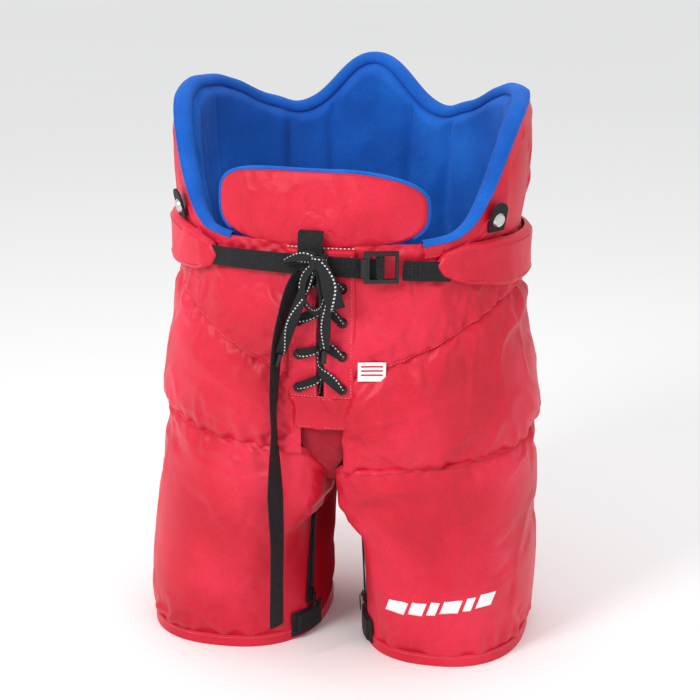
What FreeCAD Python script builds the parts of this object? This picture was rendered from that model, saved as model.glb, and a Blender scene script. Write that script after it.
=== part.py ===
"""Ice hockey pants: padded shell, laced fly, belt with buckle, front flap and two leg tubes.

Millimetres. +X is the wearer's left, -Y is the front, +Z is up. The pants stand on their
two hems, and the origin is on the floor under the middle of their box. "left" and "right"
in the node names are the wearer's own sides.
"""

import FreeCAD, Part
import math
import os

from FreeCAD import Vector

os.makedirs("parts", exist_ok=True)

# ---- driving dimensions -------------------------------------------------------------

# outer surface of the hips: height, half width, depth in front, depth behind
HIP_LEVELS = [
    (150, 198, 134, 144),
    (245, 197, 137, 148),
    (300, 190, 138, 150),
    (350, 183, 137, 148),
    (400, 177, 136, 143),
    (455, 177, 134, 140),
    (500, 181, 133, 139),
    (560, 182, 131, 140),
    (605, 180, 130, 142),
]
RIM_TOP = 600.0
LEG_TOP = 243.0
LEG_GAP = 46.0
HEM_CENTRE = {"right": 119.0, "left": 109.0}
HEM_HALF_WIDTH = {"right": 95.0, "left": 86.0}
HEM_HALF_DEPTH = 110.0
HEM_SQUARENESS = 2.4
TOP_CENTRE = 110.0
CORNER_SHARPNESS = 8

# layers of the padded wall, measured inwards from the outer surface
SHELL = (0.0, 2.5)
PLATE = (3.0, 5.0)
PAD = (5.5, 16.5)
LINER = (17.0, 19.0)
CRESCENT = (19.5, 27.0)

SPINE_HALF = 46.0
BACK_HALF = 105.0
FRONT_TOP = 448.0
FLAP_HALF = 112.0
PLACKET_HALF = 35.0
SLIT_HALF = 3.0
GUSSET_HALF = 20.0

EYELET_X = 22.0
EYELET_HEIGHTS = (408.0, 374.0, 340.0, 306.0)
EYELET_RADIUS = 5.2
EYELET_HOLE = 2.9
LACE_RADIUS = 2.2

BELT_HEIGHT = 431.0
WEBBING = 20.0
WEBBING_LAYER = (-8.6, -7.0)
WING_LAYER = (-12.0, -4.0)
BUCKLE_X = 60.0
BUCKLE_OFFSET = 10.5
BUCKLE_LENGTH = 34.0
BUCKLE_HEIGHT = 31.0
BUCKLE_THICK = 5.0
BUCKLE_BAR = 1.8

TAB_WIDTH = 22.0
TAB_LENGTH = 30.0
TAB_LEAN = 14.0
SNAP_RADIUS = 7.5

ZIP_ANGLE = 214.0
ZIP_BOTTOM = 36.0
ZIP_TOP = 138.0
ZIP_WIDTH = 9.0
HEM_TAB_HEIGHT = 26.0

SIDES = {"right": -1, "left": 1}
POINTS = 40
FAR = 400.0

# from the hips' own centre, used by every function below, to the middle of the whole box
TO_ORIGIN = Vector(8.45, 4.03, 0)


# ---- section curves -----------------------------------------------------------------


def mix(a, b, t):
    return a + (b - a) * t


def smooth(t):
    t = min(1.0, max(0.0, t))
    return t * t * (3 - 2 * t)


def hip_level(z):
    """Half width, front depth and back depth at height z, by a Catmull-Rom curve."""
    levels = HIP_LEVELS
    z = min(levels[-1][0], max(levels[0][0], z))
    k = max(i for i in range(len(levels) - 1) if levels[i][0] <= z)
    before = levels[max(k - 1, 0)]
    low, high = levels[k], levels[k + 1]
    after = levels[min(k + 2, len(levels) - 1)]
    span = high[0] - low[0]
    t = (z - low[0]) / span
    values = []
    for c in (1, 2, 3):
        start = (high[c] - before[c]) / (high[0] - before[0]) * span
        end = (after[c] - low[c]) / (after[0] - low[0]) * span
        h00 = 2 * t**3 - 3 * t**2 + 1
        h10 = t**3 - 2 * t**2 + t
        h01 = -2 * t**3 + 3 * t**2
        h11 = t**3 - t**2
        values.append(h00 * low[c] + h10 * start + h01 * high[c] + h11 * end)
    return values


def closed_curve(points):
    curve = Part.BSplineCurve()
    curve.interpolate(Points=points, PeriodicFlag=True)
    return Part.Wire([curve.toShape()])


def hip_wire(z, inset):
    a, front, back = hip_level(z)
    points = []
    for i in range(POINTS):
        angle = 2 * math.pi * i / POINTS
        depth = front if math.sin(angle) < 0 else back
        x = (a - inset) * math.cos(angle)
        y = (depth - inset) * math.sin(angle)
        points.append(Vector(x, y, z))
    return closed_curve(points)


def leg_centre(side, z):
    return mix(TOP_CENTRE, HEM_CENTRE[side], smooth(1 - z / LEG_TOP))


def leg_radius(side, z, angle):
    """Distance from the leg's centre to its outer surface. Angle 0 points away from the
    other leg, 90 degrees to the back."""
    dx, dy = math.cos(angle), math.sin(angle)
    a, front, back = hip_level(LEG_TOP)
    b = back if dy > 0 else front
    qa = (dx / a) ** 2 + (dy / b) ** 2
    qb = 2 * TOP_CENTRE * dx / a**2
    qc = (TOP_CENTRE / a) ** 2 - 1
    to_hip = (-qb + math.sqrt(qb * qb - 4 * qa * qc)) / (2 * qa)
    upper = to_hip
    if dx < -0.02:
        to_gap = (TOP_CENTRE - LEG_GAP / 2) / -dx
        k = CORNER_SHARPNESS
        upper = (to_hip**-k + to_gap**-k) ** (-1 / k)
    n = HEM_SQUARENESS
    hem = (abs(dx) / HEM_HALF_WIDTH[side]) ** n + (abs(dy) / HEM_HALF_DEPTH) ** n
    return mix(upper, hem ** (-1 / n), smooth(1 - z / LEG_TOP))


def leg_point(side, z, angle, inset=0.0):
    sign = SIDES[side]
    radius = leg_radius(side, z, angle) - inset
    x = leg_centre(side, z) + radius * math.cos(angle)
    return Vector(sign * x, radius * math.sin(angle), z)


def leg_wire(side, z, inset):
    angles = [2 * math.pi * i / POINTS for i in range(POINTS)]
    return closed_curve([leg_point(side, z, angle, inset) for angle in angles])


# ---- solids -------------------------------------------------------------------------


def heights(low, high, step=42.0):
    count = max(2, int(round((high - low) / step)) + 1)
    return [mix(low, high, i / (count - 1)) for i in range(count)]


def wall(wire_at, low, high, layer):
    """A tube wall between two insets of a section curve, from height low to high."""
    outer = Part.makeLoft([wire_at(z, layer[0]) for z in heights(low, high)], True)
    inner = Part.makeLoft([wire_at(z, layer[1]) for z in heights(low - 4, high + 4)], True)
    return outer.cut(inner)


def hip_wall(low, high, layer):
    return wall(hip_wire, low, high, layer)


def leg_wall(side, low, high, layer):
    return wall(lambda z, inset: leg_wire(side, z, inset), low, high, layer)


def box(x, y, z):
    """A box from three (low, high) pairs."""
    corner = Vector(x[0], y[0], z[0])
    return Part.makeBox(x[1] - x[0], y[1] - y[0], z[1] - z[0], corner)


def prism_y(outline, y_low, y_high):
    """An outline of (x, z) points, pushed along Y."""
    points = [Vector(x, y_low, z) for x, z in outline]
    face = Part.Face(Part.makePolygon(points + points[:1]))
    return face.extrude(Vector(0, y_high - y_low, 0))


def prism_x(outline, x_low, x_high):
    """An outline of (y, z) points, pushed along X."""
    points = [Vector(x_low, y, z) for y, z in outline]
    face = Part.Face(Part.makePolygon(points + points[:1]))
    return face.extrude(Vector(x_high - x_low, 0, 0))


def side_box(side, near, far, y, z):
    sign = SIDES[side]
    return box(sorted((sign * near, sign * far)), y, z)


def wedge(side, low_angle, high_angle, low, high):
    """A slice round the leg's centre between two angles in degrees, under 180 wide."""
    sign = SIDES[side]
    centre = leg_centre(side, (low + high) / 2)
    corners = [(sign * centre, 0.0)]
    for angle in (low_angle, (low_angle + high_angle) / 2, high_angle):
        turn = math.radians(angle)
        corners.append((sign * (centre + FAR * math.cos(turn)), FAR * math.sin(turn)))
    points = [Vector(x, y, low) for x, y in corners]
    face = Part.Face(Part.makePolygon(points + points[:1]))
    return face.extrude(Vector(0, 0, high - low))


def ruled_strip(stations, width, thick):
    """A flat hanging strip through (x, y, z) stations, with level ends."""
    wires = []
    for x, y, z in stations:
        corners = [(-1, -1), (1, -1), (1, 1), (-1, 1)]
        points = [Vector(x + i * width / 2, y + j * thick / 2, z) for i, j in corners]
        wires.append(Part.makePolygon(points + points[:1]))
    return Part.makeLoft(wires, True, True)


def cord_tube(name, route, radius):
    """Straight runs joined by tangent arcs, each as large as its two runs allow."""
    points = [Vector(*p) for p in route]
    edges, start, radii = [], points[0], []
    for before, here, after in zip(points, points[1:], points[2:]):
        to_here, onward = here - before, after - here
        half_turn = to_here.getAngle(onward) / 2
        reach = 0.45 * min(to_here.Length, onward.Length)
        radii.append(reach / math.tan(half_turn))
        back = here - to_here.normalize() * reach
        ahead = here + onward.normalize() * reach
        bisector = (back + ahead) * 0.5 - here
        rise = radii[-1] / math.cos(half_turn) - radii[-1]
        middle = here + bisector.normalize() * rise
        edges.append(Part.LineSegment(start, back).toShape())
        edges.append(Part.Arc(back, middle, ahead).toShape())
        start = ahead
    edges.append(Part.LineSegment(start, points[-1]).toShape())
    path = Part.Wire(edges)
    heading = points[1] - points[0]
    profile = Part.Wire([Part.Circle(points[0], heading, radius).toShape()])
    tube = path.makePipeShell([profile], True, False)
    expected = math.pi * radius**2 * path.Length
    print(name, "length", round(path.Length, 1), "radii", [round(r) for r in radii])
    print(name, "volume over section times length", round(tube.Volume / expected, 3))
    return tube


def on_hips(shape, x, z, offset):
    """Moves a shape drawn at the origin (local X along the belt, local -Y outwards) on
    to the front of the hips at a given x and height, standing off by offset."""
    a, front, _ = hip_level(z)
    a, front = a + offset, front + offset
    y = -front * math.sqrt(1 - (x / a) ** 2)
    turn = math.degrees(math.atan2(x / a**2, -y / front**2))
    placed = shape.copy()
    placed.rotate(Vector(0, 0, 0), Vector(0, 0, 1), turn)
    placed.translate(Vector(x, y, z))
    return placed


def save(name, shape):
    placed = shape.copy()
    placed.translate(TO_ORIGIN)
    placed.exportStep(f"parts/{name}.step")


# ---- outlines of the rim, the yoke seam and the flap ----------------------------------


def arc_outline(ends, middle, count=12):
    """Points on a parabola through two end points whose middle stands off by a height."""
    (x0, z0), (x1, z1) = ends
    points = []
    for i in range(count + 1):
        t = i / count
        points.append((mix(x0, x1, t), mix(z0, z1, t) + 4 * t * (1 - t) * middle))
    return points


def back_rim():
    """Top edge of the back seen from behind: hip guards, two dips and the spine crown."""
    right = arc_outline([(-BACK_HALF, 552), (-SPINE_HALF, 572)], -19)
    crown = arc_outline([(-SPINE_HALF, 574), (SPINE_HALF, 574)], RIM_TOP - 574)
    left = arc_outline([(SPINE_HALF, 572), (BACK_HALF, 552)], -19)
    return right + crown + left


SIDE_RIM = [
    (-FAR, FRONT_TOP), (-113, FRONT_TOP), (-92, 454), (-79, 468), (-70, 490), (-61, 528),
    (-50, 560), (-38, 577), (-18, 582), (20, 584), (60, 582), (85, 572), (104, 558),
    (115, 551), (FAR, 551),
]

YOKE_SEAM = [
    (-FAR, 392), (-190, 390), (-173, 380), (-143, 363), (-112, 344), (-85, 333),
    (-62, 325), (-37, 316), (-37, 310), (37, 310), (37, 316), (62, 325), (85, 333),
    (112, 344), (143, 363), (173, 380), (190, 390), (FAR, 392),
]


def above_rim(drop):
    """Everything above the rim, lowered by drop: the back, both sides and the front."""
    top = RIM_TOP + 60
    back = [(x, z - drop) for x, z in back_rim()]
    back = back + [(BACK_HALF, top), (-BACK_HALF, top)]
    side = [(y, z - drop) for y, z in SIDE_RIM] + [(FAR, top), (-FAR, top)]
    pieces = [prism_y(back, 0, FAR)]
    pieces.append(prism_x(side, BACK_HALF, FAR))
    pieces.append(prism_x(side, -FAR, -BACK_HALF))
    pieces.append(box((-BACK_HALF, BACK_HALF), (-FAR, 0), (FRONT_TOP - drop, top)))
    return pieces


def below_yoke(raise_by):
    outline = [(x, z + raise_by) for x, z in YOKE_SEAM]
    outline = outline + [(FAR, 0), (-FAR, 0)]
    return prism_y(outline, -FAR, FAR)


def back_sector(x_low, x_high, low, layer, drop):
    sector = hip_wall(low, RIM_TOP + 2, layer).common(
        box((x_low, x_high), (0, FAR), (low, RIM_TOP + 2))
    )
    return sector.cut(above_rim(drop))


# ---- pelvis: shells, liner and pads ---------------------------------------------------


def make_shells():
    whole = hip_wall(300, RIM_TOP + 2, SHELL)
    slit = box((-SLIT_HALF, SLIT_HALF), (-FAR, 0), (290, FRONT_TOP + 10))
    seat = whole.common(box((-FAR, FAR), (-FAR, FAR), (290, FRONT_TOP)))
    save("seat_shell", seat.cut([below_yoke(0.4), slit]))
    rim = whole.common(box((-FAR, FAR), (-FAR, FAR), (FRONT_TOP + 0.4, RIM_TOP + 2)))
    save("rim_shell", rim.cut(above_rim(0)))


def make_thigh_panels():
    band = hip_wall(LEG_TOP + 1, 396, SHELL).common(below_yoke(-0.4))
    for side in SIDES:
        half = side_box(side, GUSSET_HALF + 2, FAR, (-FAR, FAR), (200, 400))
        save(f"thigh_panel_{side}", band.common(half))


def make_gusset():
    """The crotch strip: down from the fly, between the legs and up to the seat."""
    outer = [(-136.4, 306), (-136, 262), (-130, 226), (-106, 188), (-74, 162), (-36, 151),
             (10, 149), (56, 155), (98, 176), (130, 212), (146, 252), (149.5, 306)]
    inner = [(y * 0.982, z + 3.2 * (1 - ((z - 149) / 157) ** 2)) for y, z in outer]
    strip = prism_x(outer + inner[::-1], -GUSSET_HALF, GUSSET_HALF)
    save("crotch_gusset", strip)


def make_liner():
    liner = hip_wall(338, RIM_TOP + 2, LINER)
    front = box((-BACK_HALF, BACK_HALF), (-FAR, 0), (300, RIM_TOP + 10))
    save("waist_liner", liner.cut(above_rim(3) + [front]))


def make_back_pads():
    save("spine_plate", back_sector(-34, 34, 372, PLATE, 12))
    save("spine_pad", back_sector(-SPINE_HALF + 1, SPINE_HALF - 1, 372, PAD, 4))
    tail = hip_wall(336, 368, PAD).common(box((-46, 46), (0, FAR), (336, 368)))
    save("tailbone_pad", tail)
    for side, sign in SIDES.items():
        x_low, x_high = sorted((sign * (SPINE_HALF + 1), sign * (BACK_HALF - 1)))
        save(f"kidney_pad_{side}", back_sector(x_low, x_high, 352, PAD, 4))


def make_hip_guards():
    guard = hip_wall(352, RIM_TOP + 2, PAD)
    plate = hip_wall(372, RIM_TOP + 2, PLATE)
    crescent = hip_wall(446, RIM_TOP + 2, CRESCENT)
    inner_edge = [(-78, 446), (-84, 462), (-62, 500), (-52, 540), (-30, 562), (10, 570),
                  (56, 568), (86, 556), (100, 538), (92, 500), (66, 468), (30, 446)]
    for side, sign in SIDES.items():
        half = side_box(side, BACK_HALF + 1, FAR, (-FAR, FAR), (340, RIM_TOP + 5))
        save(f"hip_guard_{side}", guard.common(half).cut(above_rim(4)))
        cap = side_box(side, BACK_HALF + 1, FAR, (-58, 88), (372, RIM_TOP))
        save(f"hip_plate_{side}", plate.common(cap).cut(above_rim(16)))
        low, high = sorted((sign * 90, sign * FAR))
        save(f"hip_crescent_{side}", crescent.common(prism_x(inner_edge, low, high)))


def make_flap():
    outline = arc_outline([(-FLAP_HALF + 8, 456), (FLAP_HALF - 8, 456)], -4)
    outline += [(FLAP_HALF, 474), (FLAP_HALF - 4, 492), (FLAP_HALF - 20, 504)]
    outline += arc_outline([(FLAP_HALF - 40, 512), (-FLAP_HALF + 40, 512)], 8)
    outline += [(-FLAP_HALF + 20, 504), (-FLAP_HALF + 4, 492), (-FLAP_HALF, 474)]
    front = prism_y(outline, -FAR, 0)
    save("flap_cover", hip_wall(450, 524, (0.0, 5.0)).common(front))
    save("flap_lining", hip_wall(450, 524, (5.3, 8.5)).common(front))


# ---- fly: plackets, tongue, eyelets and lace --------------------------------------------


def make_fly():
    strip = hip_wall(294, FRONT_TOP - 2, (-3.8, -0.4))
    for side, sign in SIDES.items():
        span = sorted((sign * SLIT_HALF, sign * PLACKET_HALF))
        placket = strip.common(box(span, (-FAR, 0), (290, FRONT_TOP)))
        holes = [
            on_hips(Part.makeCylinder(EYELET_HOLE, 16, Vector(0, -8, 0), Vector(0, 1, 0)),
                    sign * EYELET_X, z, 2)
            for z in EYELET_HEIGHTS
        ]
        save(f"fly_placket_{side}", placket.cut(holes))
    tongue = hip_wall(312, FRONT_TOP - 4, (4.0, 9.0))
    save("fly_tongue", tongue.common(box((-60, 60), (-FAR, 0), (300, FRONT_TOP))))


def make_eyelets():
    ring = Part.makeCylinder(EYELET_RADIUS, 1.2, Vector(0, -1.6, 0), Vector(0, 1, 0))
    hole = Part.makeCylinder(EYELET_HOLE, 6, Vector(0, -4, 0), Vector(0, 1, 0))
    ring = ring.cut(hole)
    rings = [on_hips(ring, sign * EYELET_X, z, 4) for sign in SIDES.values() for z in EYELET_HEIGHTS]
    save("eyelets", Part.makeCompound(rings))


def make_lace():
    """Crossings from each eyelet to the slit, the tied bow, and its two hanging tails."""
    rows = []
    for z in EYELET_HEIGHTS:
        for sign in (-1, 1):
            a, front, _ = hip_level(z)
            start = Vector(sign * EYELET_X, -front - 8.3, z)
            end = Vector(0, -front - 8.3, z - 13)
            rows.append(Part.makeCylinder(LACE_RADIUS, (end - start).Length, start, end - start))
    pairs = [rows[i].fuse(rows[i + 1]) for i in range(0, len(rows), 2)]
    save("fly_lace", Part.makeCompound(pairs))

    bow = Part.makeSphere(6.5, Vector(1, -152, 438))
    for x in (-5.5, 16.5):
        ring = Part.makeTorus(8, 2)
        stretch = FreeCAD.Matrix()
        stretch.scale(1, 3, 1)
        ring = ring.transformGeometry(stretch)
        ring.rotate(Vector(0, 0, 0), Vector(1, 0, 0), 90)
        ring.translate(Vector(x, -150.5, 411))
        bow = bow.fuse(ring)
    bow = bow.fuse(Part.makeCylinder(2, 12, Vector(5, -150.5, 437), Vector(11, 0, -3)))
    save("lace_bow", bow)

    routes = {
        "left": [(4, -155, 435), (7, -157, 413), (9, -157, 391), (9, -155, 369), (7, -152, 349)],
        "right": [(-2, -155, 435), (-11, -157, 411), (-20, -157, 388), (-29, -155, 365),
                  (-37, -152, 343)],
    }
    for side, route in routes.items():
        save(f"lace_tail_{side}", cord_tube(f"lace_tail_{side}", route, LACE_RADIUS))
        end = Vector(*route[-1])
        heading = end - Vector(*route[-2])
        save(f"aglet_{side}", Part.makeCylinder(2.6, 14, end, heading))


# ---- belt ---------------------------------------------------------------------------


def make_belt():
    wing = hip_wall(400, 454, WING_LAYER)
    outline = [(-114, 419), (-114, 440), (-95, 448), (-60, 452), (104, 452), (104, 402),
               (-60, 402), (-95, 408)]
    for side, sign in SIDES.items():
        low, high = sorted((sign * 60, sign * FAR))
        save(f"belt_wing_{side}", wing.common(prism_x(outline, low, high)))

    band = hip_wall(BELT_HEIGHT - WEBBING / 2, BELT_HEIGHT + WEBBING / 2, WEBBING_LAYER)
    band = band.common(box((-FAR, FAR), (-FAR, -114.4), (400, 460)))
    far_end = BUCKLE_X - BUCKLE_LENGTH / 2 - 1.5
    save("belt_strap_right", band.common(box((-FAR, far_end), (-FAR, 0), (400, 460))))
    bar = BUCKLE_LENGTH / 2 - BUCKLE_BAR
    run = band.common(box((BUCKLE_X + bar + 0.5, FAR), (-FAR, 0), (400, 460)))
    eye = Part.makeCylinder(3.7, WEBBING, Vector(bar, 0, -WEBBING / 2))
    hole = Part.makeCylinder(BUCKLE_BAR + 0.3, WEBBING + 2, Vector(bar, 0, -WEBBING / 2 - 1))
    eye = on_hips(eye, BUCKLE_X, BELT_HEIGHT, BUCKLE_OFFSET)
    hole = on_hips(hole, BUCKLE_X, BELT_HEIGHT, BUCKLE_OFFSET)
    save("belt_strap_left", run.fuse(eye).cut(hole))

    keeper = hip_wall(416, 454, (-10.8, -9.2)).common(box((-20, 5), (-FAR, 0), (416, 454)))
    feet = hip_wall(416, 454, (-9.4, -4.2)).common(
        box((-20, 5), (-FAR, 0), (416, 454)).cut(box((-21, 6), (-FAR, 0), (418, 452)))
    )
    save("belt_keeper", keeper.fuse(feet))

    stations = [(-37, -145, 404), (-45, -146.5, 351), (-47, -146.5, 304), (-47, -145, 262),
                (-47, -143.5, 191), (-46, -143.5, 142), (-47, -143, 50)]
    save("belt_tail", ruled_strip(stations, WEBBING, 1.6))


def make_buckle():
    """Ladder-lock buckle: a frame with two windows, a round end bar and a lever."""
    half, tall, thick = BUCKLE_LENGTH / 2, BUCKLE_HEIGHT / 2, BUCKLE_THICK / 2
    bar = half - BUCKLE_BAR
    frame = box((-half, bar), (-thick, thick), (-tall, tall))
    frame = frame.cut(box((-11.5, -3.0), (-FAR, FAR), (-11.5, 11.5)))
    frame = frame.cut(box((1.0, FAR), (-FAR, FAR), (-11.5, 11.5)))
    frame = frame.fuse(Part.makeCylinder(BUCKLE_BAR, 2 * tall, Vector(bar, 0, -tall)))
    lever = box((-half - 3, -half + 3), (-thick - 1.5, -thick + 1), (-9, 9))
    shape = frame.fuse(lever).removeSplitter()
    save("buckle", on_hips(shape, BUCKLE_X, BELT_HEIGHT, BUCKLE_OFFSET))
    sleeve = box((-4.9, 2.9), (-4.4, 4.4), (-10, 10)).cut(
        box((-3.3, 1.3), (-2.8, 2.8), (-11, 11))
    )
    save("buckle_webbing", on_hips(sleeve, BUCKLE_X, BELT_HEIGHT, BUCKLE_OFFSET))


def make_snap_tabs():
    """Suspender tabs that stand up behind the wings, each with a snap cap."""
    body = box((-TAB_WIDTH / 2, TAB_WIDTH / 2), (-1, 1), (0, TAB_LENGTH - 7))
    tip = Part.makeCylinder(TAB_WIDTH / 2, 2, Vector(0, -1, 0), Vector(0, 1, 0))
    tip = tip.common(box((-20, 20), (-2, 2), (0, 20)))
    tip.translate(Vector(0, 0, TAB_LENGTH - 11))
    body = body.common(box((-20, 20), (-2, 2), (0, TAB_LENGTH - 11))).fuse(tip)
    cap = Part.makeCone(SNAP_RADIUS, SNAP_RADIUS - 1.5, 2.4, Vector(0, -1.05, 12), Vector(0, -1, 0))
    for side, sign in SIDES.items():
        for name, shape in (("snap_tab", body), ("snap_cap", cap)):
            part = shape.copy()
            part.rotate(Vector(0, 0, 0), Vector(1, 0, 0), TAB_LEAN)
            save(f"{name}_{side}", on_hips(part, sign * 160, 455, 4))


def make_side_label():
    patch = hip_wall(312, 337, (-1.0, -0.3))
    save("side_label", patch.common(box((37, 65), (-FAR, 0), (314, 335))))


# ---- legs -----------------------------------------------------------------------------


def make_leg(side):
    save(f"thigh_shell_{side}", leg_wall(side, 0, LEG_TOP, SHELL))
    save(f"leg_liner_{side}", leg_wall(side, 5, LEG_TOP - 3, LINER))
    guard = leg_wall(side, 14, LEG_TOP - 8, PAD)
    guard = guard.cut(wedge(side, 66, 216, 10, LEG_TOP))
    save(f"thigh_guard_{side}", guard)
    plate = leg_wall(side, 34, LEG_TOP - 26, PLATE)
    save(f"thigh_plate_{side}", plate.common(wedge(side, -128, -8, 30, LEG_TOP)))


def zip_frame(side, z):
    """Point on the leg's surface over the zip, and the way out of the leg there."""
    turn = math.radians(ZIP_ANGLE)
    here = leg_point(side, z, turn)
    beside = leg_point(side, z, turn + 0.02) - leg_point(side, z, turn - 0.02)
    out = Vector(beside.y, -beside.x, 0).normalize()
    centre = Vector(SIDES[side] * leg_centre(side, z), 0, z)
    if out.dot(here - centre) < 0:
        out = out * -1
    return here, out


def make_leg_closure(side):
    """Inner-leg zip with its slider and pull, and the hook-and-loop tab at the hem."""
    half_angle = math.degrees(ZIP_WIDTH / 2 / leg_radius(side, 80, math.radians(ZIP_ANGLE)))
    tape = leg_wall(side, ZIP_BOTTOM, ZIP_TOP, (-1.4, -0.3))
    slice_ = wedge(side, ZIP_ANGLE - half_angle, ZIP_ANGLE + half_angle, 20, 150)
    save(f"leg_zip_{side}", tape.common(slice_))

    low, out = zip_frame(side, ZIP_BOTTOM + 6)
    high, _ = zip_frame(side, ZIP_TOP)
    along = (high - low).normalize()
    across = out.cross(along).normalize()
    out = along.cross(across).normalize()
    place = FreeCAD.Matrix(
        across.x, out.x, along.x, low.x,
        across.y, out.y, along.y, low.y,
        across.z, out.z, along.z, low.z,
        0, 0, 0, 1,
    )
    slider = box((-4, 4), (2.2, 4.0), (0, 10)).fuse(box((-1, 1), (3.8, 5.6), (5, 9)))
    pull = box((-2.5, 2.5), (5.9, 7.1), (-10, 5.5))
    for name, shape in (("zip_slider", slider), ("zip_pull", pull)):
        shape.Placement = FreeCAD.Placement(place)
        save(f"{name}_{side}", shape)

    reach = math.degrees(20 / leg_radius(side, 18, math.radians(ZIP_ANGLE)))
    tab = leg_wall(side, 4, 4 + HEM_TAB_HEIGHT, (-2.4, -0.4))
    slice_ = wedge(side, ZIP_ANGLE - reach, ZIP_ANGLE + reach, 0, 60)
    save(f"hem_tab_{side}", tab.common(slice_))

    ends = [leg_point(side, 17, math.radians(ZIP_ANGLE + s * reach), -0.4) for s in (-1, 1)]
    print(side, "zip from", low + TO_ORIGIN, "along", along, "out", out)
    print(side, "hem tab ends", [end + TO_ORIGIN for end in ends])


def main():
    make_shells()
    make_thigh_panels()
    make_gusset()
    make_liner()
    make_back_pads()
    make_hip_guards()
    make_flap()
    make_fly()
    make_eyelets()
    make_lace()
    make_belt()
    make_buckle()
    make_snap_tabs()
    make_side_label()
    for side in SIDES:
        make_leg(side)
        make_leg_closure(side)


main()
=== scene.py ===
"""Ice hockey pants: the finished look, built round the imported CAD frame.

Shapes are worked out in millimetres from the hips' own centre, as the CAD is, and moved
into the frame in metres by world(). +X is the wearer's left and -Y is the front.
"""

import math

import bpy
import numpy as np
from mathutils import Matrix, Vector, noise

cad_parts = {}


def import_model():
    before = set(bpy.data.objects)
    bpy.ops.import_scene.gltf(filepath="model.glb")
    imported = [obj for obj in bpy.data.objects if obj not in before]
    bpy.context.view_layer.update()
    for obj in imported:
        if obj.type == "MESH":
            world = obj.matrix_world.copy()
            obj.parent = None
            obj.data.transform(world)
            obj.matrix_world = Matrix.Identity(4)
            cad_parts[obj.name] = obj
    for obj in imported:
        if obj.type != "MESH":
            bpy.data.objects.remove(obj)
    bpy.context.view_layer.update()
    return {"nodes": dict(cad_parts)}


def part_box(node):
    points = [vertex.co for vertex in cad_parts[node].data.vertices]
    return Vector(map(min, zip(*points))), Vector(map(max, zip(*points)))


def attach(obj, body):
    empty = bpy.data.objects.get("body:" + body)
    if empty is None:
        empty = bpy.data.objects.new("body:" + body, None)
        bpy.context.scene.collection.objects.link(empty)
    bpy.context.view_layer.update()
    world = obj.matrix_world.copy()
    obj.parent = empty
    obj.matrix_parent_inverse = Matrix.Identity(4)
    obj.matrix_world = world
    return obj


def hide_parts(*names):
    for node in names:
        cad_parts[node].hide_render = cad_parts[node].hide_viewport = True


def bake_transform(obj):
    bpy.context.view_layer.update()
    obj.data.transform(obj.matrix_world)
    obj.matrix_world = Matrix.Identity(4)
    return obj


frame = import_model()

# ---- the hips' centre, read from the frame ----

SEAT_LOW, SEAT_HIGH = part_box("seat_shell")
DEEPEST_SEAT = 150.44
HIP_X = (SEAT_LOW[0] + SEAT_HIGH[0]) / 2
HIP_Y = SEAT_HIGH[1] - DEEPEST_SEAT / 1000
LEG_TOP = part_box("thigh_shell_right")[1][2] * 1000
SIDES = {"right": -1, "left": 1}

HIP_LEVELS = np.array([
    (150, 198, 134, 144), (245, 197, 137, 148), (300, 190, 138, 150), (350, 183, 137, 148),
    (400, 177, 136, 143), (455, 177, 134, 140), (500, 181, 133, 139), (560, 182, 131, 140),
    (605, 180, 130, 142),
], float)
TOP_CENTRE = 110.0
LEG_GAP = 46.0
HEM_CENTRE = {"right": 119.0, "left": 109.0}
HEM_HALF_WIDTH = {"right": 95.0, "left": 86.0}
HEM_HALF_DEPTH = 110.0
HEM_SQUARENESS = 2.4
CORNER_SHARPNESS = 8

FRONT_TOP = 450.0
SPINE_HALF = 46.0
BACK_HALF = 105.0
WEBBING = 20.0
BELT_HEIGHT = 431.0

SIM_FRAMES = 22
CLOTH_THICK = 1.2
HIP_BEND = (318, 248)
KEEPER_BEND = (447, 462)
TAIL_BEND = (330, 180)


def world(points):
    """Millimetres from the hips' centre to metres in the frame."""
    return np.asarray(points, float) / 1000 + (HIP_X, HIP_Y, 0)


def local(points):
    """Metres in the frame back to millimetres from the hips' centre."""
    return (np.asarray(points, float) - (HIP_X, HIP_Y, 0)) * 1000


def bend(obj, heights):
    """Bakes a piece's placement into its mesh; the two heights are turned into points in the frame,
    which nothing uses.
    """
    start, end = (tuple(world((0, 0, z))) for z in heights)
    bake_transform(obj)
    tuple(start)
    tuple(end)


def smooth(t):
    t = np.clip(t, 0, 1)
    return t * t * (3 - 2 * t)


def mix(a, b, t):
    return a + (b - a) * t


def unit(v):
    return v / np.maximum(np.linalg.norm(v, axis=-1, keepdims=True), 1e-12)


# ---- section curves, the same as the CAD's ----


def hip_level(z):
    """Half width, front depth and back depth at height z, by a Catmull-Rom curve."""
    levels = HIP_LEVELS
    z = np.clip(z, levels[0, 0], levels[-1, 0] - 1e-6)
    k = np.clip(np.searchsorted(levels[:, 0], z, side="right") - 1, 0, len(levels) - 2)
    before, low = levels[np.maximum(k - 1, 0)], levels[k]
    high, after = levels[k + 1], levels[np.minimum(k + 2, len(levels) - 1)]
    span = (high - low)[..., :1]
    t = (np.asarray(z)[..., None] - low[..., :1]) / span
    start = (high - before) / (high - before)[..., :1] * span
    end = (after - low) / (after - low)[..., :1] * span
    t2, t3 = t * t, t**3
    value = (2 * t3 - 3 * t2 + 1) * low + (t3 - 2 * t2 + t) * start
    value = value + (3 * t2 - 2 * t3) * high + (t3 - t2) * end
    return value[..., 1], value[..., 2], value[..., 3]


def hip_point(phi, z, inset=0.0):
    """On the hips: angle 0 is the wearer's left, 90 degrees is the back."""
    phi, z, inset = np.broadcast_arrays(phi, np.asarray(z, float), inset)
    a, front, back = hip_level(z)
    depth = np.where(np.sin(phi) < 0, front, back)
    return np.stack([(a - inset) * np.cos(phi), (depth - inset) * np.sin(phi), z], -1)


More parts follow.
